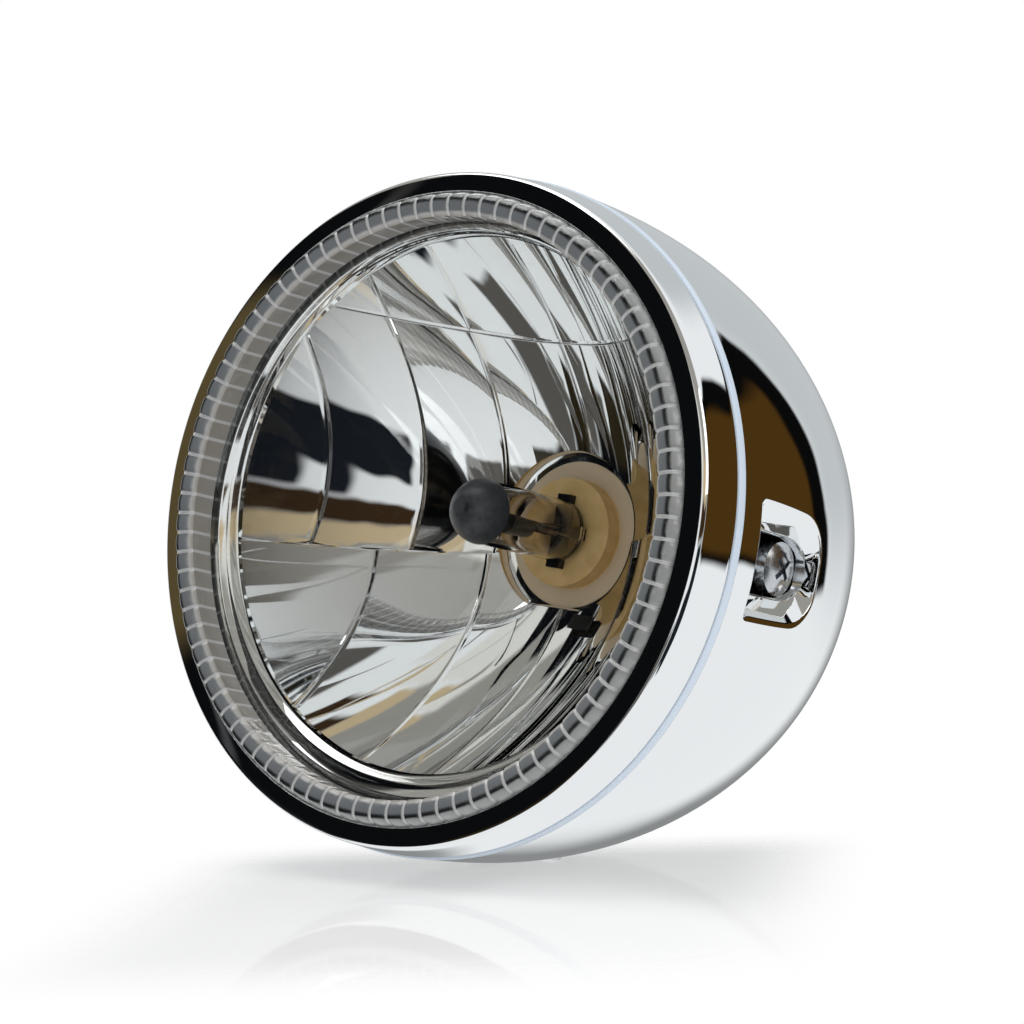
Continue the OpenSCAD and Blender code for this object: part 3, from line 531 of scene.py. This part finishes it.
# One cushion is lofted between two valleys and repeated round the ring. Between the valleys it
# swells, and across the ring it is crowned, with its outer flank lower than its inner one.
pitch = math.tau / bead_count
cross, along = 10, 8
valley_high, crown_rise, flank_r, flank_slope = 3.0, 0.9, 74.0, 1.6 / 3
# The valleys cut into the outer flank, and the swell pushes both flanks out
valley_cut, outer_swell, inner_swell = 0.45, 0.55, 0.2475
swell_rise = bead_proud - valley_high - crown_rise
crown = []
for k in range(cross + 1):
    u = k / cross
    crown.append((bead_inner + (bead_outer - bead_inner) * u, 1 - abs(2 * u - 1) ** 2.6))
form = bmesh.new()
grid = []
for j in range(along + 1):
    v = j / along
    swell = (1 - abs(2 * v - 1) ** 3) ** 0.5
    profile = [(bead_inner, ring_back), (bead_inner - 0.25 * swell, -2.6)]
    for r, lift in crown:
        high = valley_high + crown_rise * lift + swell_rise * swell * (0.35 + 0.65 * lift)
        side_share = 1 - lift
        if r > flank_r:
            high -= flank_slope * (r - flank_r) * side_share
            r += (outer_swell * swell - valley_cut) * side_share
        else:
            r -= inner_swell * swell * side_share
        profile.append((r, -high))
    profile += [(bead_outer - 0.4 + 0.4 * swell, -0.9), (flange_outer, -0.2), (flange_outer, ring_back)]
    grid.append([form.verts.new(at(r, d, pitch * v)) for r, d in profile])
add_strips(form, grid)
bmesh.ops.spin(form, geom=form.verts[:] + form.edges[:] + form.faces[:], cent=(0, 0, axis_z), axis=(0, -1, 0),
               angle=math.tau - pitch, steps=bead_count - 1, use_duplicate=True)
bmesh.ops.remove_doubles(form, verts=form.verts, dist=2e-6)
new_piece("beaded_light_ring", form, fluted, ("bead_ring",), 28)

# Lens
# Clear polycarbonate pane, moulded, gently domed and hard coated against scratches. Its edge
# lies between the light ring and the black seal.
clear, tree, shader = new_material("clear_polycarbonate", "#fdfefe", 0, 0.0)
shader.inputs["Transmission Weight"].default_value = 1
shader.inputs["IOR"].default_value = 1.58
lens_inner, lens_outer = bead_inner - 0.5, 73
lens_front, lens_t, lens_dome, dome_cuts = ring_back + 0.1, 2.6, 2.6, 24
front = []
for k in range(dome_cuts + 1):
    share = k / dome_cuts
    front.append((lens_inner * share, lens_front - lens_dome * (1 - share ** 2)))
form = bmesh.new()
turned(form, front + [(lens_outer, lens_front), (lens_outer, lens_front + lens_t)]
       + [(r, d + lens_t) for r, d in front[::-1]])
new_piece("clear_lens", form, clear, ("lens",), 30)
# Daylight comes through the pane to what stands behind it, so shadow and diffuse rays pass it
paths = add_node(tree, "ShaderNodeLightPath")
passing = add_node(tree, "ShaderNodeMath", {"operation": "MAXIMUM"},
                   links={0: paths.outputs["Is Shadow Ray"], 1: paths.outputs["Is Diffuse Ray"]})
lit_pane = add_node(tree, "ShaderNodeMixShader",
                    links={"Fac": passing.outputs["Value"], 1: tree.nodes["Principled BSDF"].outputs["BSDF"],
                           2: add_node(tree, "ShaderNodeBsdfTransparent").outputs["BSDF"]})
tree.links.new(lit_pane.outputs["Shader"], tree.nodes["Material Output"].inputs["Surface"])

# Mirror
# Thermoset plastic, moulded with hollowed facets and narrow rounded ridges, lacquered and
# vacuum metallised with aluminium. Its lower facets are turned about the bulb.
metallised = new_material("metallised_aluminium", "#fafbfb", 1, 0.02)[0]
optic_rise, mirror_r, vertex_d, rim_d = 2.5, 66.0, 65.6, 10.0
focal = mirror_r ** 2 / (4 * (vertex_d - rim_d))
bulge, ridge_half, rib_high = 0.7, 0.55, 0.13
tilt, row_line, upper_row, top_row = math.radians(11), -3.6, 45.5, 73.0
# The outermost lines of both fields lie past the rim, which trims them
upper_rows, lower_rows = [-30.0, upper_row, top_row], [-90.0, row_line]
upper_edges = [mirror_r * f for f in (-1.09, -0.826, -0.576, -0.311, 0.061, 0.432, 0.697, 1.09)]
lower_edges = [mirror_r * f
               for f in (-1.333, -1.024, -0.688, -0.352, -0.015, 0.321, 0.658, 0.994, 1.333)]


def hollow(value, edges):
    """How deep a place lies in its facet, 1 in the middle, with a fine rib along each edge."""
    for low, high in zip(edges, edges[1:]):
        if low <= value <= high:
            near = min(value - low, high - value)
            rib = rib_high / bulge * max(0.0, 1 - (near / ridge_half) ** 2)
            return 1 - (1 - 2 * near / (high - low)) ** 2 - rib
    return 0.0


def turned_back(x, z, turn):
    return x * math.cos(turn) + z * math.sin(turn), z * math.cos(turn) - x * math.sin(turn)


def mirror_depth(x, z):
    """Depth of the mirror x across and z above the bulb's axis, in mm."""
    bowl_depth = vertex_d - (x * x + z * z) / (4 * focal)
    above = hollow(x, upper_edges)
    if z > upper_row:
        above += hollow(z, (upper_row, top_row))
    along_row, past_row = turned_back(x, z, tilt)
    if past_row >= row_line:
        return bowl_depth + bulge * above
    t = min(1, (row_line - past_row) / ridge_half)
    t = t * t * (3 - 2 * t)
    return bowl_depth + bulge * (above * (1 - t) + hollow(along_row, lower_edges) * t)


def spread(edges, step):
    """Grid lines across a field of facets, close together along the ridges."""
    places = []
    for low, high in zip(edges, edges[1:]):
        inside = high - low - 4 * ridge_half
        cuts = max(1, round(inside / step))
        places += [low, low + ridge_half * 0.5, low + ridge_half, low + ridge_half * 1.5]
        places += [low + ridge_half * 2 + inside * k / cuts for k in range(cuts + 1)]
        places += [high - ridge_half * 1.5, high - ridge_half, high - ridge_half * 0.5]
    return places + [edges[-1]]


# The bulb's opening: its round wall, its flat foot, and where it ends behind
neck_r, shelf_z, neck_back = 21.2, -19.4, 64.2
# Grid steps, how far the grid runs past the rim, and how near an edge a cell may end
step_x, step_z, grid_past, rim_play, opening_play = 1.3, 2.0, 4, 0.1, 0.05
mirror_normals = {}


def mirror_place(x, z):
    """A place on the mirror, whose true slope is kept for the shading."""
    step = 0.03
    slope_x = (mirror_depth(x + step, z) - mirror_depth(x - step, z)) / (2 * step)
    slope_z = (mirror_depth(x, z + step) - mirror_depth(x, z - step)) / (2 * step)
    place = Vector((x * mm, front_y + mirror_depth(x, z) * mm, axis_z + (z + optic_rise) * mm))
    mirror_normals[tuple(round(c, 6) for c in place)] = Vector((slope_x, -1, slope_z)).normalized()
    return place


def facet_sheet(form, edges, rows, turn):
    """One field of facets, trimmed to the mirror's rim and the bulb's opening."""
    xs, zs = spread(edges, step_x), spread(rows, step_z)
    sheet = {}
    for i, x in enumerate(xs):
        for j, z in enumerate(zs):
            if math.hypot(x, z) < mirror_r + grid_past:
                sheet[i, j] = form.verts.new((*turned_back(x, z, -turn), 0))
    kept = set()
    for (i, j) in sheet:
        quad = [(i, j), (i + 1, j), (i + 1, j + 1), (i, j + 1)]
        if all(q in sheet for q in quad):
            points = [sheet[q] for q in quad]
            reach = min(math.hypot(v.co.x, v.co.y) for v in points)
            into_opening = min(min(neck_r - math.hypot(v.co.x, v.co.y), v.co.y - shelf_z) for v in points)
            if reach < mirror_r - rim_play and into_opening <= opening_play:
                form.faces.new(points)
                kept.update(points)
    bmesh.ops.delete(form, geom=[v for v in sheet.values() if v not in kept], context="VERTS")
    for v in kept:
        x, z = v.co.x, v.co.y
        reach = math.hypot(x, z)
        if reach > mirror_r:
            x, z = x * mirror_r / reach, z * mirror_r / reach
        elif reach < neck_r and z > shelf_z:
            if neck_r - reach < z - shelf_z:
                x, z = x * neck_r / reach, z * neck_r / reach
            else:
                z = shelf_z
        v.co = mirror_place(x, z)


form = bmesh.new()
# The dividing line rises to the right, so the upper field is cut along it
facet_sheet(form, upper_edges, upper_rows, 0.0)
cut_at = Vector((0, 0, axis_z + (row_line / math.cos(tilt) + optic_rise) * mm))
bmesh.ops.bisect_plane(form, geom=form.verts[:] + form.edges[:] + form.faces[:], plane_co=cut_at,
                       plane_no=Vector((-math.sin(tilt), 0, math.cos(tilt))), clear_inner=True, dist=1e-7)
facet_sheet(form, lower_edges, lower_rows, tilt)
facing_front = Vector((0, -1, 0))
mirror = new_piece("facetted_mirror", form, metallised, ("reflector",), 180, facing_front)
mirror.data.normals_split_custom_set_from_vertices(
    [mirror_normals.get(tuple(round(c, 6) for c in v.co), unshaded) for v in mirror.data.vertices])

# Mirror skirt and bulb opening
# One moulding with the mirror: a stepped skirt that leads out to the lens, and a straight
# sided opening with a flat foot.
skirt_steps, wall_cuts, foot_cuts = 288, 120, 20


def sunk_place(x, z, sunk):
    """A place that lies so many mm behind the mirror."""
    return mirror_place(x, z) + Vector((0, sunk * mm, 0))


def add_wall(form, rows):
    """Joins closed rows of places, each to the next."""
    loops = [loop_edges(form, [form.verts.new(place) for place in row]) for row in rows]
    for first, second in zip(loops, loops[1:]):
        bmesh.ops.bridge_loops(form, edges=first + second)


form = bmesh.new()
turns = [math.tau * k / skirt_steps for k in range(skirt_steps)]
# Radius and depth of each step, and how far it has moved from the lamp's axis to the bulb's
skirt = [[at(r, d, a, optic_rise * share) for a in turns] for r, d, share in (
    (73.2, 6.2, 0), (69.6, 6.2, 0), (69.2, 6.5, 0.05), (68.5, 7.3, 0.3), (68.2, 7.5, 0.4),
    (67.6, 7.7, 0.5), (67.3, 8.0, 0.6), (66.9, 9.0, 0.8), (66.6, 9.4, 0.9), (66.25, 9.55, 1))]
add_wall(form, skirt + [[sunk_place(mirror_r * math.cos(a), mirror_r * math.sin(a), 0.04) for a in turns]])
foot = math.asin(shelf_z / neck_r)
angles = [foot + (math.pi - 2 * foot) * k / wall_cuts for k in range(wall_cuts + 1)]
outline = [(neck_r * math.cos(a), neck_r * math.sin(a)) for a in angles]
foot_x = outline[-1][0]
outline += [(foot_x * (1 - 2 * k / foot_cuts), shelf_z) for k in range(1, foot_cuts)]
# The wall starts just proud of the mirror, rounds inward, and ends in a narrow ledge behind
wall = [[sunk_place(x * share, z * share, sunk) for x, z in outline]
        for share, sunk in ((1.0, -0.2), (0.985, 0.4))]
for share in (0.97, 0.88):
    wall.append([Vector((x * share * mm, front_y + neck_back * mm, axis_z + (z * share + optic_rise) * mm))
                 for x, z in outline])
add_wall(form, wall)
new_piece("mirror_skirt", form, metallised, (), 35, facing_front)

# Opening shade
# Small black sheet steel bar with two slots, riveted under the foot of the bulb's opening and
# blackened in a bath, which leaves it a little cloudy.
shade_x, shade_z, shade_half, shade_rise = 12.5, -22.2, 3.9, 1.9
shade_stand, shade_t, shade_frame, shade_round, slot_cuts = 0.9 * mm, 0.7 * mm, 0.6 * mm, 0.12 * mm, 4
black_steel, tree, shader = new_material("blackened_steel", "#0c0c0d", 0.2, 0.38)
surface = add_node(tree, "ShaderNodeTexCoord").outputs["Object"]
cloud = add_node(tree, "ShaderNodeTexNoise", inputs={"Scale": 420.0, "Detail": 3.0},
                 links={"Vector": surface})
dullness = add_node(tree, "ShaderNodeMapRange",
                    inputs={"From Min": 0.3, "From Max": 0.7, "To Min": 0.3, "To Max": 0.5},
                    links={"Value": cloud.outputs["Fac"]})
tree.links.new(dullness.outputs["Result"], shader.inputs["Roughness"])
form = bmesh.new()
corners = []
for x, z in ((-1, -1), (1, -1), (1, 1), (-1, 1)):
    place = mirror_place(shade_x + x * shade_half, shade_z + z * shade_rise)
    corners.append(form.verts.new(place - Vector((0, shade_stand, 0))))
bar = form.faces.new(corners)
bmesh.ops.inset_individual(form, faces=[bar], thickness=shade_frame)
# The long edges are cut into five, and every second cell between them is a slot
long_edges = [e for e in bar.edges if abs(e.verts[0].co.z - e.verts[1].co.z) < 1 * mm]
bmesh.ops.subdivide_edges(form, edges=long_edges, cuts=slot_cuts, use_grid_fill=True)
bar_z, slot_half = axis_z + (shade_z + optic_rise) * mm, 1.35 * mm
cells = [face for face in form.faces if all(abs(v.co.z - bar_z) < slot_half for v in face.verts)]
cells.sort(key=lambda face: face.calc_center_median().x)
bmesh.ops.delete(form, geom=cells[1::2], context="FACES")
thicken(form, (0, -shade_t, 0), shade_round)
new_piece("opening_shade", form, black_steel, (), 30)


# Lens seal
# Black silicone bead, cast between the lens and the mirror's flange, dull and faintly grained.
# It gives a little, so that pane and mirror can move with heat and cold.
def finish_nodes(names, material):
    for name in names:
        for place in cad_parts[name].material_slots:
            place.material = material


def add_grain(tree, shader, size, colours, gloss, relief, stretch=(1, 1, 1)):
    """One grain, its size and relief in mm, that carries colour, gloss and bump together."""
    surface = add_node(tree, "ShaderNodeTexCoord").outputs["Object"]
    place = add_node(tree, "ShaderNodeMapping", inputs={"Scale": stretch}, links={"Vector": surface})
    grain = add_node(tree, "ShaderNodeTexNoise", inputs={"Scale": 1 / (size * mm), "Detail": 3.0},
                     links={"Vector": place.outputs["Vector"]})
    share = add_node(tree, "ShaderNodeMapRange", inputs={"From Min": 0.3, "From Max": 0.7},
                     links={"Value": grain.outputs["Fac"]}).outputs["Result"]
    tint = add_node(tree, "ShaderNodeMix", {"data_type": "RGBA"},
                    {"A": linear(colours[0]), "B": linear(colours[1])}, {"Factor": share}).outputs["Result"]
    dullness = add_node(tree, "ShaderNodeMapRange", inputs={"To Min": gloss[0], "To Max": gloss[1]},
                        links={"Value": share}).outputs["Result"]
    normal = add_node(tree, "ShaderNodeBump", inputs={"Strength": 0.6, "Distance": relief * mm},
                      links={"Height": share}).outputs["Normal"]
    for key, source in (("Base Color", tint), ("Roughness", dullness), ("Normal", normal)):
        tree.links.new(source, shader.inputs[key])
    return tint, normal


sealant, tree, shader = new_material("black_silicone")
add_grain(tree, shader, 0.5, ("#101010", "#1a1a19"), (0.42, 0.6), 0.01)
finish_nodes(("lens_seal",), sealant)

# Retaining clips
# Hardened spring strip, pressed, that hooks the mirror's flange into the bezel. Rolling leaves
# fine lines along the strip, and hardening a faint straw tint.
spring_strip, tree, shader = new_material("spring_strip", "#b4b3b0", 1)
add_grain(tree, shader, 0.6, ("#a9a7a1", "#c3c4c5"), (0.22, 0.4), 0.004, (1, 4, 1))
finish_nodes(("retaining_clips",), spring_strip)

# Light ring board and diodes
# Glass fibre board under the light ring with 12 small diodes in yellow gel. The board's weave
# shows as a fine square net under its black solder mask.
weave_pitch = 8 * mm
board_mask, tree, shader = new_material("black_solder_mask")
normal = add_grain(tree, shader, 0.8, ("#0d0e0e", "#151716"), (0.3, 0.42), 0.01)[1]
weave = add_node(tree, "ShaderNodeTexBrick", {"offset": 0.0},
                 {"Scale": 1.0 / weave_pitch, "Mortar Size": 0.03},
                 {"Vector": add_node(tree, "ShaderNodeTexCoord").outputs["Object"]})
net = add_node(tree, "ShaderNodeBump", inputs={"Strength": 0.4, "Distance": 0.02 * mm},
               links={"Height": weave.outputs["Fac"], "Normal": normal})
tree.links.new(net.outputs["Normal"], shader.inputs["Normal"])
finish_nodes(("led_board",), board_mask)
diode, tree, shader = new_material("diode_gel")
add_grain(tree, shader, 0.3, ("#d2b95c", "#e6d184"), (0.2, 0.32), 0.01)
shader.inputs["Subsurface Weight"].default_value = 0.3
shader.inputs["Subsurface Scale"].default_value = 0.6 * mm
finish_nodes(("leds",), diode)

# Bulb glass
# Drawn quartz tube, clear and a little wavy along its length, faintly smoked by use. Its foot
# is pinched flat round the wires.
quartz, tree, shader = new_material("clear_quartz", "#f4efe8", 0, 0.0)
shader.inputs["Transmission Weight"].default_value = 1
shader.inputs["IOR"].default_value = 1.46
surface = add_node(tree, "ShaderNodeTexCoord").outputs["Object"]
drawn = add_node(tree, "ShaderNodeMapping", inputs={"Scale": (1, 0.25, 1)}, links={"Vector": surface})
waves = add_node(tree, "ShaderNodeTexNoise", inputs={"Scale": 260.0, "Detail": 1.0},
                 links={"Vector": drawn.outputs["Vector"]})
relief = add_node(tree, "ShaderNodeBump", inputs={"Strength": 0.25, "Distance": 0.3 * mm},
                  links={"Height": waves.outputs["Fac"]})
tree.links.new(relief.outputs["Normal"], shader.inputs["Normal"])
finish_nodes(("bulb_glass",), quartz)

# Bulb cap
# Baked black coating dipped over the tip of the glass, satin, with a fine orange peel. It
# keeps the filaments' direct light from leaving in front.
cap_coating, tree, shader = new_material("cap_coating")
add_grain(tree, shader, 0.9, ("#303134", "#3d3f42"), (0.3, 0.42), 0.03)
finish_nodes(("bulb_cap",), cap_coating)

# Bulb clamp
# Blackened steel strap across the foot of the glass, which grips it in the brass cup. It is
# of the same steel as the shade.
finish_nodes(("bulb_clamp",), black_steel)

# Bulb shield and wires
# Pressed molybdenum shield under the front filament and two drawn supports, grey and satin
# with fine drawing lines. The filaments are dull tungsten coils, seen as close dark rings.
molybdenum, tree, shader = new_material("molybdenum", "#8d8a85", 1)
add_grain(tree, shader, 0.25, ("#77746f", "#98958f"), (0.28, 0.42), 0.004, (1, 0.15, 1))
finish_nodes(("bulb_shield", "bulb_supports"), molybdenum)
tungsten, tree, shader = new_material("tungsten_coil", "#6b6864", 1)
coil_pitch = 1.6 * mm
normal = add_grain(tree, shader, 0.2, ("#55524f", "#75726e"), (0.4, 0.55), 0.004)[1]
coil = add_node(tree, "ShaderNodeTexWave", {"bands_direction": "Y", "wave_profile": "SIN"},
                {"Scale": 1 / coil_pitch},
                {"Vector": add_node(tree, "ShaderNodeTexCoord").outputs["Object"]})
rings = add_node(tree, "ShaderNodeBump", inputs={"Strength": 1.0, "Distance": 0.15 * mm},
                 links={"Height": coil.outputs["Fac"], "Normal": normal})
tree.links.new(rings.outputs["Normal"], shader.inputs["Normal"])
finish_nodes(("bulb_filaments",), tungsten)

# Bulb flange
# Pressed brass disc, cup and collar of the bulb, bare and yellow. Pressing leaves fine rings
# round its axis and handling a cloudy tarnish of a few millimetres.
brass, tree, shader = new_material("bare_brass", "#f4dcae", 0.3)
surface = add_node(tree, "ShaderNodeTexCoord").outputs["Object"]
tint = add_grain(tree, shader, 3.5, ("#d9b675", "#ecca8e"), (0.36, 0.5), 0.01)[0]
bulb_axis = (0, 0, -(axis_z + optic_rise * mm))
centred = add_node(tree, "ShaderNodeMapping", inputs={"Location": bulb_axis, "Scale": (1, 0, 1)},
                   links={"Vector": surface})
away = add_node(tree, "ShaderNodeVectorMath", {"operation": "LENGTH"},
                links={0: centred.outputs["Vector"]})
# The cup is brighter and yellower than the greyer flange round it
outside = add_node(tree, "ShaderNodeMapRange", inputs={"From Min": 14.1 * mm, "From Max": 14.4 * mm},
                   links={"Value": away.outputs["Value"]})
cup_and_flange_tint = add_node(tree, "ShaderNodeMix", {"data_type": "RGBA"}, {"B": linear("#d9c6a8")},
                  {"Factor": outside.outputs["Result"], "A": tint})
tree.links.new(cup_and_flange_tint.outputs["Result"], shader.inputs["Base Color"])
lathe = add_node(tree, "ShaderNodeTexWave", {"wave_type": "RINGS", "rings_direction": "Y"},
                 {"Scale": 1 / (5 * mm), "Distortion": 0.4}, {"Vector": centred.outputs["Vector"]})
lines = add_node(tree, "ShaderNodeBump", inputs={"Strength": 0.35, "Distance": 0.03 * mm},
                 links={"Height": lathe.outputs["Fac"]})
tree.links.new(lines.outputs["Normal"], shader.inputs["Normal"])
finish_nodes(("bulb_flange",), brass)

# Bulb insulator and contacts
# Dark brown moulded phenolic base with a coarse filler, and the three blades of tinned brass
# that a connector is pushed onto.
phenolic, tree, shader = new_material("phenolic_moulding")
add_grain(tree, shader, 0.5, ("#1c1510", "#2e241b"), (0.45, 0.6), 0.02)
finish_nodes(("bulb_insulator",), phenolic)
tinned, tree, shader = new_material("tinned_brass", "#c4bfb2", 1)
add_grain(tree, shader, 0.9, ("#b3ad9c", "#cfccc2"), (0.25, 0.45), 0.006)
finish_nodes(("bulb_contacts",), tinned)

# Bulb clip and its screw
# Bright drawn spring wire bent over the flange, held by one small zinc plated screw. It
# springs open to let the bulb out.
spring_wire, tree, shader = new_material("spring_wire", "#babcbf", 1)
add_grain(tree, shader, 0.3, ("#a8aaad", "#c6c8ca"), (0.18, 0.32), 0.003, (0.2, 1, 1))
finish_nodes(("bulb_clip",), spring_wire)
# Zinc plate and clear chromate: bright and bluish, with fine crystals that blur what it mirrors
zinc, tree, shader = new_material("zinc_plate", "#c9ccd1", 1)
add_grain(tree, shader, 0.35, ("#b9bdc3", "#d9dce0"), (0.14, 0.26), 0.006)
finish_nodes(("clip_screw", "bracket_nuts", "side_screws"), zinc)

# Rubber boot
# Moulded black EPDM over the bulb's foot, matt, with a fine bloom on it. It is pushed onto a
# ring of the mirror and keeps water and dust away from the bulb.
epdm, tree, shader = new_material("epdm_rubber")
add_grain(tree, shader, 1.4, ("#121212", "#222221"), (0.55, 0.72), 0.02)
finish_nodes(("rubber_boot",), epdm)

# Side brackets
# Galvanised steel strip behind each pocket, with the patchwork of crystals that hot zinc
# leaves. It joins the bezel to the pocket's floor.
galvanised, tree, shader = new_material("galvanised_strip", "#9fa2a5", 1)
tint = add_grain(tree, shader, 0.6, ("#8f9295", "#a9acaf"), (0.3, 0.45), 0.006)[0]
crystals = add_node(tree, "ShaderNodeTexVoronoi", inputs={"Scale": 1 / (5 * mm)},
                    links={"Vector": add_node(tree, "ShaderNodeTexCoord").outputs["Object"]})
patch = add_node(tree, "ShaderNodeSeparateColor", links={"Color": crystals.outputs["Color"]})
patchwork = add_node(tree, "ShaderNodeMix", {"data_type": "RGBA", "blend_type": "MULTIPLY"},
                     {"Factor": 0.35}, {"A": tint, "B": patch.outputs["Red"]})
tree.links.new(patchwork.outputs["Result"], shader.inputs["Base Color"])
finish_nodes(("side_brackets",), galvanised)

# Lock washers
# Split spring steel washers under the screw heads, phosphated grey and dull. Their sharp ends
# keep the screws from working loose.
phosphated, tree, shader = new_material("phosphated_steel", "#5f6163", 1)
add_grain(tree, shader, 0.3, ("#4c4e50", "#6c6e70"), (0.35, 0.5), 0.01)
finish_nodes(("lock_washers",), phosphated)

# Mount insert
# Turned steel bush with a thread, welded into the bottom of the bowl, with fine tool marks
# round its axis.
turned_steel, tree, shader = new_material("turned_steel", "#a3a5a8", 1)
normal = add_grain(tree, shader, 0.5, ("#909295", "#b2b4b7"), (0.25, 0.4), 0.004)[1]
tool_marks = add_node(tree, "ShaderNodeTexWave", {"bands_direction": "Z"},
                      {"Scale": 1 / (4 * mm), "Distortion": 0.2},
                      {"Vector": add_node(tree, "ShaderNodeTexCoord").outputs["Object"]})
marks = add_node(tree, "ShaderNodeBump", inputs={"Strength": 0.5, "Distance": 0.03 * mm},
                 links={"Height": tool_marks.outputs["Fac"], "Normal": normal})
tree.links.new(marks.outputs["Normal"], shader.inputs["Normal"])
finish_nodes(("mount_insert",), turned_steel)

# Cable grommet
# Moulded black rubber bush in the back of the bowl that guards the cables, matt. A groove
# round it holds it in the sheet.
grommet_rubber, tree, shader = new_material("grommet_rubber")
add_grain(tree, shader, 0.8, ("#141414", "#1f1f1e"), (0.5, 0.68), 0.015)
finish_nodes(("cable_grommet",), grommet_rubber)
